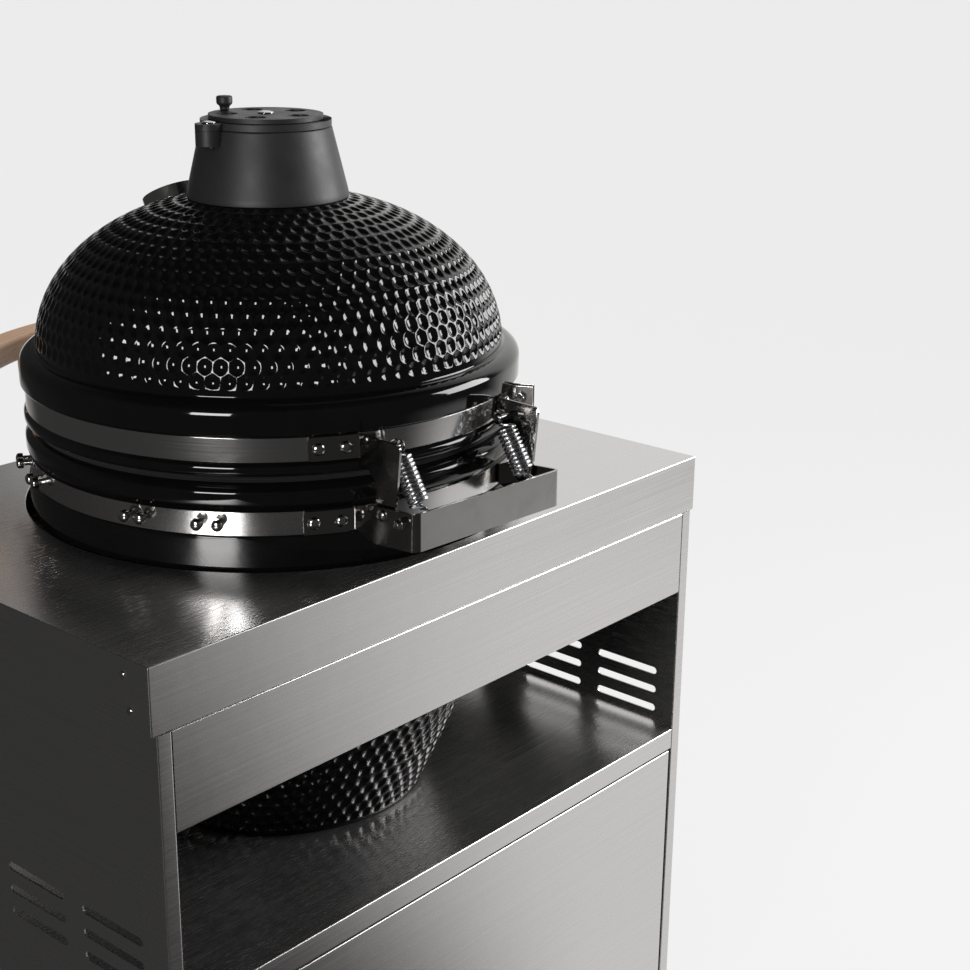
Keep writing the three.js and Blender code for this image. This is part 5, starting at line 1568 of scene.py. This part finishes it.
case = turned("gauge_case", rounded([
    (0, -gauge_stem_length), (gauge_stem, -gauge_stem_length), (gauge_stem, seat_gap), (gauge_radius, seat_gap),
    (gauge_radius, gauge_depth), (gauge_inner - gauge_sheet, gauge_depth),
    (gauge_inner - gauge_sheet, gauge_depth - gauge_sheet), (gauge_inner, gauge_depth - gauge_sheet),
    (gauge_inner, seat_gap + gauge_bezel), (0, seat_gap + gauge_bezel)], 0.0009), 96)
case.data.transform(gauge_place)
dress(smooth(case), "lid", polished, "polished_steel", "thermometer_case")

enamel = enamelled_dial()
dial = turned("gauge_dial", rounded([(gauge_stem / 2 + 0.0003, dial_low), (gauge_inner - seat_gap, dial_low),
                                     (gauge_inner - seat_gap, dial_top), (gauge_stem / 2 + 0.0003, dial_top)],
                                    0.0002, closed=True), 96, closed=True)
dial.data.transform(gauge_place)
dress(smooth(dial), "lid", enamel, "white_enamel", "thermometer_dial")

ink = painted("dial_print", "#0d0d0e", "#161617")
prints = []
for i in range(gauge_marks + 1):
    long_mark = i % 7 == 0
    mark = begun("cube", "dial_mark", size=1, scale=(0.0008 if long_mark else 0.0004, 0.005 if long_mark else 0.003, 0.00015),
                 location=(0, gauge_inner - 0.004, dial_top + 0.0001))
    mark.data.transform(Matrix.Rotation(math.radians(gauge_cold - 270 * i / gauge_marks), 4, "Z"))
    prints.append(mark)
for i, text in enumerate(gauge_numbers):
    words = bpy.data.curves.new("dial_number", "FONT")
    words.body = text
    words.size = 0.0062
    words.align_x = words.align_y = "CENTER"
    words.extrude = 0.0001
    number = bpy.data.objects.new("dial_number", words)
    bpy.context.scene.collection.objects.link(number)
    bpy.ops.object.select_all(action="DESELECT")
    number.select_set(True)
    bpy.context.view_layer.objects.active = number
    bpy.ops.object.convert(target="MESH")
    angle = math.radians(gauge_cold - 270 * i / (len(gauge_numbers) - 1))
    number.data.transform(Matrix.Translation(
        (-(gauge_inner - 0.0115) * math.sin(angle), (gauge_inner - 0.0115) * math.cos(angle), dial_top + 0.0001)))
    prints.append(number)
printed = joined(prints, "dial_printing")
printed.data.transform(gauge_place)
dress(printed, "lid", ink, "black_rubber")

red = painted("needle_paint", "#9c2018", "#ae2a21")
needle = drawn("gauge_needle", [
    (x, y, dial_top + seat_gap) for x, y in ((-0.0012, -0.006), (0.0012, -0.006), (0.0006, gauge_inner - 0.006),
                                             (-0.0006, gauge_inner - 0.006))], [], [(0, 1, 2, 3)])
edit(needle)
bpy.ops.mesh.select_all(action="SELECT")
pulled((0, 0, gauge_sheet / 2))
close(needle)
hub = turned("needle_hub", rounded([(0, dial_low), (gauge_stem / 2, dial_low), (gauge_stem / 2, hub_top), (0, hub_top)],
                                   0.0005), 32)
needle = joined([needle, smooth(hub)], "gauge_needle")
needle.data.transform(gauge_place @ Matrix.Rotation(math.radians(gauge_cold), 4, "Z"))
dress(needle, "thermometer_needle", red, "red_paint", "thermometer_needle")

lens = turned("gauge_glass", rounded([
    (0, glass_low), (gauge_inner - seat_gap, glass_low), (gauge_inner - seat_gap, glass_top), (0, glass_top)], 0.0004), 96)
lens.data.transform(gauge_place)
dress(smooth(lens), "lid", clear_glass(), "clear_glass", "thermometer_glass")


# Draft door
# Curved stainless plates in front of the air inlet: a frame with two tracks and a sleeve
# through the wall, a screen punched with holes, and a plain door with a turned knob.
draft_standoff = 0.0066
draft_gauge = 0.0016
draft_track = 0.0024
draft_lap = 0.005
draft_lap_angle = 1.5
draft_travel = 28
draft_hole_rows = 2
draft_hole_columns = 6
draft_hole_radius = 0.003
draft_knob_radius = 0.008
draft_knob_length = 0.014

draft_high = draft_low + draft_height
rail_low, rail_high = draft_low - draft_lap, draft_high + draft_lap
draft_radius = belly_at(rail_high + draft_track) + draft_standoff
half_angle = math.degrees(math.asin(draft_width / 2 / draft_radius))
plate_half = half_angle + draft_lap_angle
frame_from = 180 - plate_half - draft_travel - math.degrees(draft_gauge / draft_radius)
frame_to = 180 + plate_half + math.degrees(draft_gauge / draft_radius)
screen_in = draft_radius + draft_gauge + seat_gap
door_in = screen_in + draft_gauge + seat_gap
lip_in = door_in + draft_gauge + seat_gap
frame_out = lip_in + draft_gauge


def curved(name, outer, gauge, from_angle, to_angle, low, high, steps=40):
    """A curved plate between two angles from +Y towards +X, given its outer radius."""
    columns = [(*round_clock(outer, to_angle + (from_angle - to_angle) * i / steps), low, high) for i in range(steps + 1)]
    return strip(name, columns, gauge)


frame_parts = [
    curved("frame_back", draft_radius + draft_gauge, draft_gauge, frame_from, frame_to, rail_low - draft_track,
           rail_high + draft_track),
    curved("rail_low", frame_out, frame_out - draft_radius - draft_gauge, frame_from, frame_to, rail_low - draft_track,
           rail_low),
    curved("rail_high", frame_out, frame_out - draft_radius - draft_gauge, frame_from, frame_to, rail_high,
           rail_high + draft_track),
    curved("lip_low", frame_out, draft_gauge, frame_from, frame_to, rail_low, draft_low - seat_gap),
    curved("lip_high", frame_out, draft_gauge, frame_from, frame_to, draft_high + seat_gap, rail_high)]
opening = begun("cube", "opening", size=1,
                scale=(draft_width - 4 * draft_gauge, 0.08, draft_height - 4 * draft_gauge),
                location=(0, -draft_radius, (draft_low + draft_high) / 2))
cut(frame_parts[0], opening)
sleeve_back = base_wall - belly_at(draft_high)
sleeve = begun("cube", "sleeve", size=1, scale=(draft_width - draft_gauge, draft_radius + sleeve_back, draft_height - 2 * seat_gap),
               location=(0, (sleeve_back - draft_radius) / 2, (draft_low + draft_high) / 2))
cut(sleeve, begun("cube", "sleeve_bore", size=1, scale=(draft_width - 4 * draft_gauge, 1, draft_height - 4 * draft_gauge),
                  location=(0, -draft_radius, (draft_low + draft_high) / 2)))
draft_frame = joined(frame_parts + [smooth(sleeve)], "draft_slide_frame")
draft_frame.data.transform(kamado_place)
dress(draft_frame, "root", strap_steel, "polished_steel", "draft_frame")

screen = curved("draft_screen_plate", screen_in + draft_gauge, draft_gauge, 180 - plate_half, 180 + plate_half,
                rail_low + seat_gap, rail_high - seat_gap)
punches = []
for row in range(1, draft_hole_rows + 1):
    for column in range(1, draft_hole_columns + 1):
        punch = begun("cylinder", "hole", vertices=24, radius=draft_hole_radius, depth=0.02)
        share = 2 * column / (draft_hole_columns + 1) - 1
        punch.data.transform(
            Matrix.Rotation(-math.radians(180 + share * half_angle), 4, "Z")
            @ Matrix.Translation((0, screen_in, draft_low + draft_height * row / (draft_hole_rows + 1))) @ along_y)
        punches.append(punch)
cut(screen, joined(punches, "holes"))
screen.data.transform(kamado_place)
dress(screen, "draft_screen", strap_steel, "polished_steel", "draft_screen")

leaf = curved("draft_leaf", door_in + draft_gauge, draft_gauge, 180 - plate_half, 180 + plate_half,
              rail_low + seat_gap, rail_high - seat_gap)
knob_foot = frame_out + seat_gap
knob = turned("draft_knob", rounded([
    (0, door_in + draft_gauge / 2), (draft_knob_radius / 2, door_in + draft_gauge / 2),
    (draft_knob_radius / 2, knob_foot), (draft_knob_radius, knob_foot + 0.002),
    (draft_knob_radius, knob_foot + draft_knob_length), (0, knob_foot + draft_knob_length)], 0.002, 5), 48)
knob.data.transform(Matrix.Rotation(-math.radians(180 + plate_half * 0.667), 4, "Z")
                    @ Matrix.Translation((0, 0, (draft_low + draft_high) / 2)) @ along_y)
draft_door = joined([leaf, smooth(knob)], "draft_leaf")
draft_door.data.transform(kamado_place)
dress(draft_door, "draft_door", strap_steel, "polished_steel", "draft_door")


# Fire box, fire ring and grates
# Refractory ceramic, cast thick and left unglazed: the box stands on the base's floor and
# the ring on the box. A slotted iron grate carries the charcoal, and a grate of welded
# stainless rods on the ring carries the food.
def raw_ceramic():
    # Fired refractory clay: sandy buff, speckled with grog of 1 to 3 mm, and matt
    made, tree = new_material("raw_ceramic")
    place = add(tree, "TexCoord")
    grog = add(tree, "TexVoronoi", {"Scale": 420}, {"Vector": place.outputs["Object"]})
    cloud = add(tree, "TexNoise", {"Scale": 18, "Detail": 5}, {"Vector": place.outputs["Object"]})
    sand = add(tree, "TexNoise", {"Scale": 1300, "Detail": 3}, {"Vector": place.outputs["Object"]})
    body = add(tree, "Mix", {"data_type": "RGBA", 6: linear("#b7a586"), 7: linear("#cdbfa3")}, {0: cloud.outputs["Fac"]})
    speck = add(tree, "MapRange", {"From Min": 0.1, "From Max": 0.3, "To Min": 0.72, "To Max": 1},
                {"Value": grog.outputs["Distance"]})
    tone = add(tree, "Mix", {"data_type": "RGBA", "blend_type": "MULTIPLY", 0: 1}, {6: body.outputs[2], 7: speck.outputs[0]})
    bump = add(tree, "Bump", {"Strength": 0.5, "Distance": 0.0004}, {"Height": sand.outputs["Fac"]})
    shader = add(tree, "BsdfPrincipled", {"Roughness": 0.9, "IOR": 1.5},
                 {"Base Color": tone.outputs[2], "Normal": bump.outputs[0]})
    add(tree, "OutputMaterial", links={"Surface": shader.outputs[0]})
    return made


clay = raw_ceramic()
box_top = -0.070
box_wall = 0.019
box_radius = belly_radius - base_wall - 0.055
box_foot = stand_radius - base_wall - 0.015
box_power = 0.6
ash_radius = 0.061
coal_level = -0.225
coal_ledge = 0.018
coal_radius = 0.140
coal_thickness = 0.012
coal_slots = 12
coal_slot_width = 0.008
coal_slot_from, coal_slot_to = 0.049, 0.119
ring_top = 0.048
cook_radius = belly_radius - base_wall - 0.015
cook_rod = 0.006
cook_bar = 0.004
cook_pitch = 0.026

box_low = foot_level + floor_thickness + seat_gap
box_floor = box_low + box_wall
outer_wall = []
for i in range(17):
    share = (i / 16) ** 1.6
    z = box_low + (box_top - box_low) * share
    outer_wall.append((box_foot + (box_radius - box_foot) * share ** box_power, z))
fire_box = turned("fire_box_casting", rounded(
    [(ash_radius, box_low)] + outer_wall + [
        (box_radius - box_wall, box_top), (coal_radius + 2 * seat_gap, coal_level), (coal_radius - coal_ledge, coal_level),
        (box_foot - box_wall, box_floor), (ash_radius, box_floor)], 0.003, closed=True), 96, closed=True)
cut(fire_box, begun("cube", "inlet", size=1, scale=(draft_width, box_radius, draft_high - box_floor),
                    location=(0, -box_radius / 2, (box_floor + draft_high) / 2)))
fire_box.data.transform(kamado_place)
dress(smooth(fire_box), "root", clay, "raw_ceramic", "fire_box")

ring_low = box_top + seat_gap
fire_ring = turned("fire_ring_casting", rounded(
    [(box_radius - box_wall, ring_low), (box_radius, ring_low), (box_radius, ring_top), (box_radius - box_wall, ring_top)],
    0.003, closed=True), 96, closed=True)
fire_ring.data.transform(kamado_place)
dress(smooth(fire_ring), "root", clay, "raw_ceramic", "fire_ring")

coal_grate = turned("coal_grate_casting", rounded(
    [(0, coal_level + seat_gap), (coal_radius, coal_level + seat_gap), (coal_radius, coal_level + coal_thickness),
     (0, coal_level + coal_thickness)], 0.0015), 64)
tools = []
for i in range(coal_slots):
    tool = begun("cube", "slot", size=1, scale=(coal_slot_width, coal_slot_to - coal_slot_from, 0.04),
                 location=(0, (coal_slot_from + coal_slot_to) / 2, coal_level))
    tool.data.transform(Matrix.Rotation(math.tau * i / coal_slots, 4, "Z"))
    tools.append(tool)
cut(coal_grate, joined(tools, "slots"))
softened(coal_grate, 0.0008, 2)
coal_grate.data.transform(kamado_place)
dress(coal_grate, "root", iron, "cast_iron", "charcoal_grate")

cook_low = ring_top + seat_gap
rods = [turned("cook_rim", [(cook_radius - cook_rod / 2 + cook_rod / 2 * math.cos(math.tau * i / 16),
                             cook_low + cook_rod / 2 + cook_rod / 2 * math.sin(math.tau * i / 16)) for i in range(16)],
               96, closed=True)]
bar_count = int((cook_radius - cook_rod) / cook_pitch)
for i in range(-bar_count, bar_count + 1):
    half = math.sqrt((cook_radius - cook_rod / 2) ** 2 - (i * cook_pitch) ** 2)
    rods.append(begun("cylinder", "cook_bar", vertices=12, radius=cook_bar / 2, depth=2 * half,
                      rotation=(math.pi / 2, 0, 0), location=(i * cook_pitch, 0, cook_low + cook_rod - cook_bar / 2)))
rods.append(begun("cylinder", "cross_bar", vertices=12, radius=cook_bar / 2, depth=2 * cook_radius - cook_rod,
                  rotation=(0, math.pi / 2, 0), location=(0, 0, cook_low + cook_bar / 2)))
for rod in rods:
    smooth(rod, 50)
grate = joined(rods, "cooking_rods")
grate.data.transform(kamado_place)
dress(grate, "root", polished, "polished_steel", "cooking_grate")


# Studio
# A pale floor and a backdrop behind the table, soft lamps, and the camera at the
# photograph's view.
camera_place = Vector((1.2985, 1.4480, 1.4907))
camera_forward = Vector((-0.7216, -0.6161, -0.3157)).normalized()
camera_right = Vector((-0.6523, 0.7579, 0.0117))
camera_right = (camera_right - camera_forward * camera_right.dot(camera_forward)).normalized()
camera_up = camera_right.cross(camera_forward)
camera_lens = 63.97
camera_shift = (-0.00627, 0.00143)

camera = bpy.data.objects.new("camera", bpy.data.cameras.new("camera"))
bpy.context.scene.collection.objects.link(camera)
camera.data.lens = camera_lens
camera.data.shift_x, camera.data.shift_y = camera_shift
camera.matrix_world = Matrix((
    (camera_right.x, camera_up.x, -camera_forward.x, camera_place.x),
    (camera_right.y, camera_up.y, -camera_forward.y, camera_place.y),
    (camera_right.z, camera_up.z, -camera_forward.z, camera_place.z),
    (0, 0, 0, 1)))
bpy.context.scene.camera = camera

room_dark = 0.05
plain_light = 0.65
floor_size = 120
floor_share = 0.9
sweep_reach = (4.4, 2.8)


def backdrop(tree, place, azimuth, dark_at, bright_at):
    """How bright the room is in a direction, or round a place on the floor: white towards
    an azimuth, and falling to the dark of the studio within two angles from it."""
    middle = (math.cos(math.radians(azimuth)), math.sin(math.radians(azimuth)), 0)
    flat = add(tree, "VectorMath", {"operation": "MULTIPLY", 1: (1, 1, 0)}, {0: place})
    way = add(tree, "VectorMath", {"operation": "NORMALIZE"}, {0: flat.outputs[0]})
    turn = add(tree, "VectorMath", {"operation": "DOT_PRODUCT", 1: middle}, {0: way.outputs[0]})
    return add(tree, "MapRange", {
        "interpolation_type": "SMOOTHSTEP", "From Min": math.cos(math.radians(dark_at)),
        "From Max": math.cos(math.radians(bright_at)), "To Min": room_dark, "To Max": 1},
        {"Value": turn.outputs["Value"]}).outputs[0]


def studio_floor():
    # Pale paint, which keeps the table's shadow. The camera sees it as near white, and
    # metal and glass see it as the backdrop round it.
    made, tree = new_material("studio_floor")
    place = add(tree, "TexCoord")
    paint = add(tree, "BsdfPrincipled", {"Base Color": linear("#d6d6d5"), "Roughness": 0.9})
    shown = add(tree, "Emission", {"Color": linear("#f4f4f4"), "Strength": 1})
    distance = add(tree, "VectorMath", {"operation": "LENGTH"}, {0: place.outputs["Object"]})
    near = add(tree, "MapRange", {"interpolation_type": "SMOOTHSTEP", "From Min": sweep_reach[0],
                                  "From Max": sweep_reach[1], "To Min": room_dark, "To Max": floor_share},
               {"Value": distance.outputs["Value"]})
    round_it = add(tree, "Math", {"operation": "MULTIPLY"}, {
        0: near.outputs[0], 1: backdrop(tree, place.outputs["Object"], -170, 87, 53)})
    both_parts = add(tree, "Math", {"operation": "MAXIMUM"}, {
        0: round_it.outputs[0], 1: backdrop(tree, place.outputs["Object"], -152, 52, 30)})
    seen = add(tree, "Emission", {"Color": linear("#f4f3f2")}, {"Strength": both_parts.outputs[0]})
    ray = add(tree, "LightPath")
    mirrored_ray = add(tree, "Math", {"operation": "MAXIMUM"}, {0: ray.outputs["Is Glossy Ray"],
                                                                1: ray.outputs["Is Transmission Ray"]})
    camera_share = add(tree, "Math", {"operation": "MULTIPLY", 1: 0.86}, {0: ray.outputs["Is Camera Ray"]})
    lit = add(tree, "MixShader", links={0: camera_share.outputs[0], 1: paint.outputs[0], 2: shown.outputs[0]})
    both = add(tree, "MixShader", links={0: mirrored_ray.outputs[0], 1: lit.outputs[0], 2: seen.outputs[0]})
    add(tree, "OutputMaterial", links={"Surface": both.outputs[0]})
    made.cycles.emission_sampling = "NONE"
    return made


floor = begun("plane", "studio_floor", size=floor_size, location=(0, 0, -0.0005))
floor.data.materials.append(studio_floor())

world = bpy.data.worlds.new("studio")
bpy.context.scene.world = world
world.use_nodes = True
world.cycles.sampling_method = "NONE"
tree = world.node_tree
tree.nodes.clear()
place = add(tree, "TexCoord")
height = add(tree, "SeparateXYZ", links={"Vector": place.outputs["Generated"]})
below_ceiling = add(tree, "MapRange", {"interpolation_type": "SMOOTHSTEP", "From Min": 0.9, "From Max": 0.5,
                                       "To Min": room_dark, "To Max": 1}, {"Value": height.outputs["Z"]})
side_light = add(tree, "Math", {"operation": "MULTIPLY"}, {
    0: backdrop(tree, place.outputs["Generated"], -157, 38, 22), 1: below_ceiling.outputs[0]})
light = add(tree, "Background", {"Color": linear("#ffffff"), "Strength": plain_light})
seen = add(tree, "Background", {"Color": linear("#f4f3f2")}, {"Strength": side_light.outputs[0]})
shown = add(tree, "Background", {"Color": linear("#ededed"), "Strength": 1})
ray = add(tree, "LightPath")
mirrored_ray = add(tree, "Math", {"operation": "MAXIMUM"}, {0: ray.outputs["Is Glossy Ray"],
                                                            1: ray.outputs["Is Transmission Ray"]})
room = add(tree, "MixShader", links={0: mirrored_ray.outputs[0], 1: light.outputs[0], 2: seen.outputs[0]})
both = add(tree, "MixShader", links={0: ray.outputs["Is Camera Ray"], 1: room.outputs[0], 2: shown.outputs[0]})
add(tree, "OutputWorld", links={"Surface": both.outputs[0]})


def window(name, azimuth, elevation, distance, width, height, watts):
    """A soft lamp like a window, seen from the lid at an azimuth from +X and an elevation."""
    lamp = bpy.data.objects.new(name, bpy.data.lights.new(name, "AREA"))
    bpy.context.scene.collection.objects.link(lamp)
    lamp.data.shape = "RECTANGLE"
    lamp.data.size, lamp.data.size_y = width, height
    lamp.data.energy = watts
    turn, rise = math.radians(azimuth), math.radians(elevation)
    out = Vector((math.cos(rise) * math.cos(turn), math.cos(rise) * math.sin(turn), math.sin(rise)))
    lamp.location = kamado_place.translation + Vector((0, 0, dome_start)) + out * distance
    lamp.rotation_euler = (-out).to_track_quat("-Z", "Y").to_euler()


window("window_near", 22, 10, 2.6, 0.75, 0.8, 30)
window("window_far", 142, 15, 3.0, 1.6, 1.7, 80)

bpy.context.scene.view_settings.view_transform = "Standard"
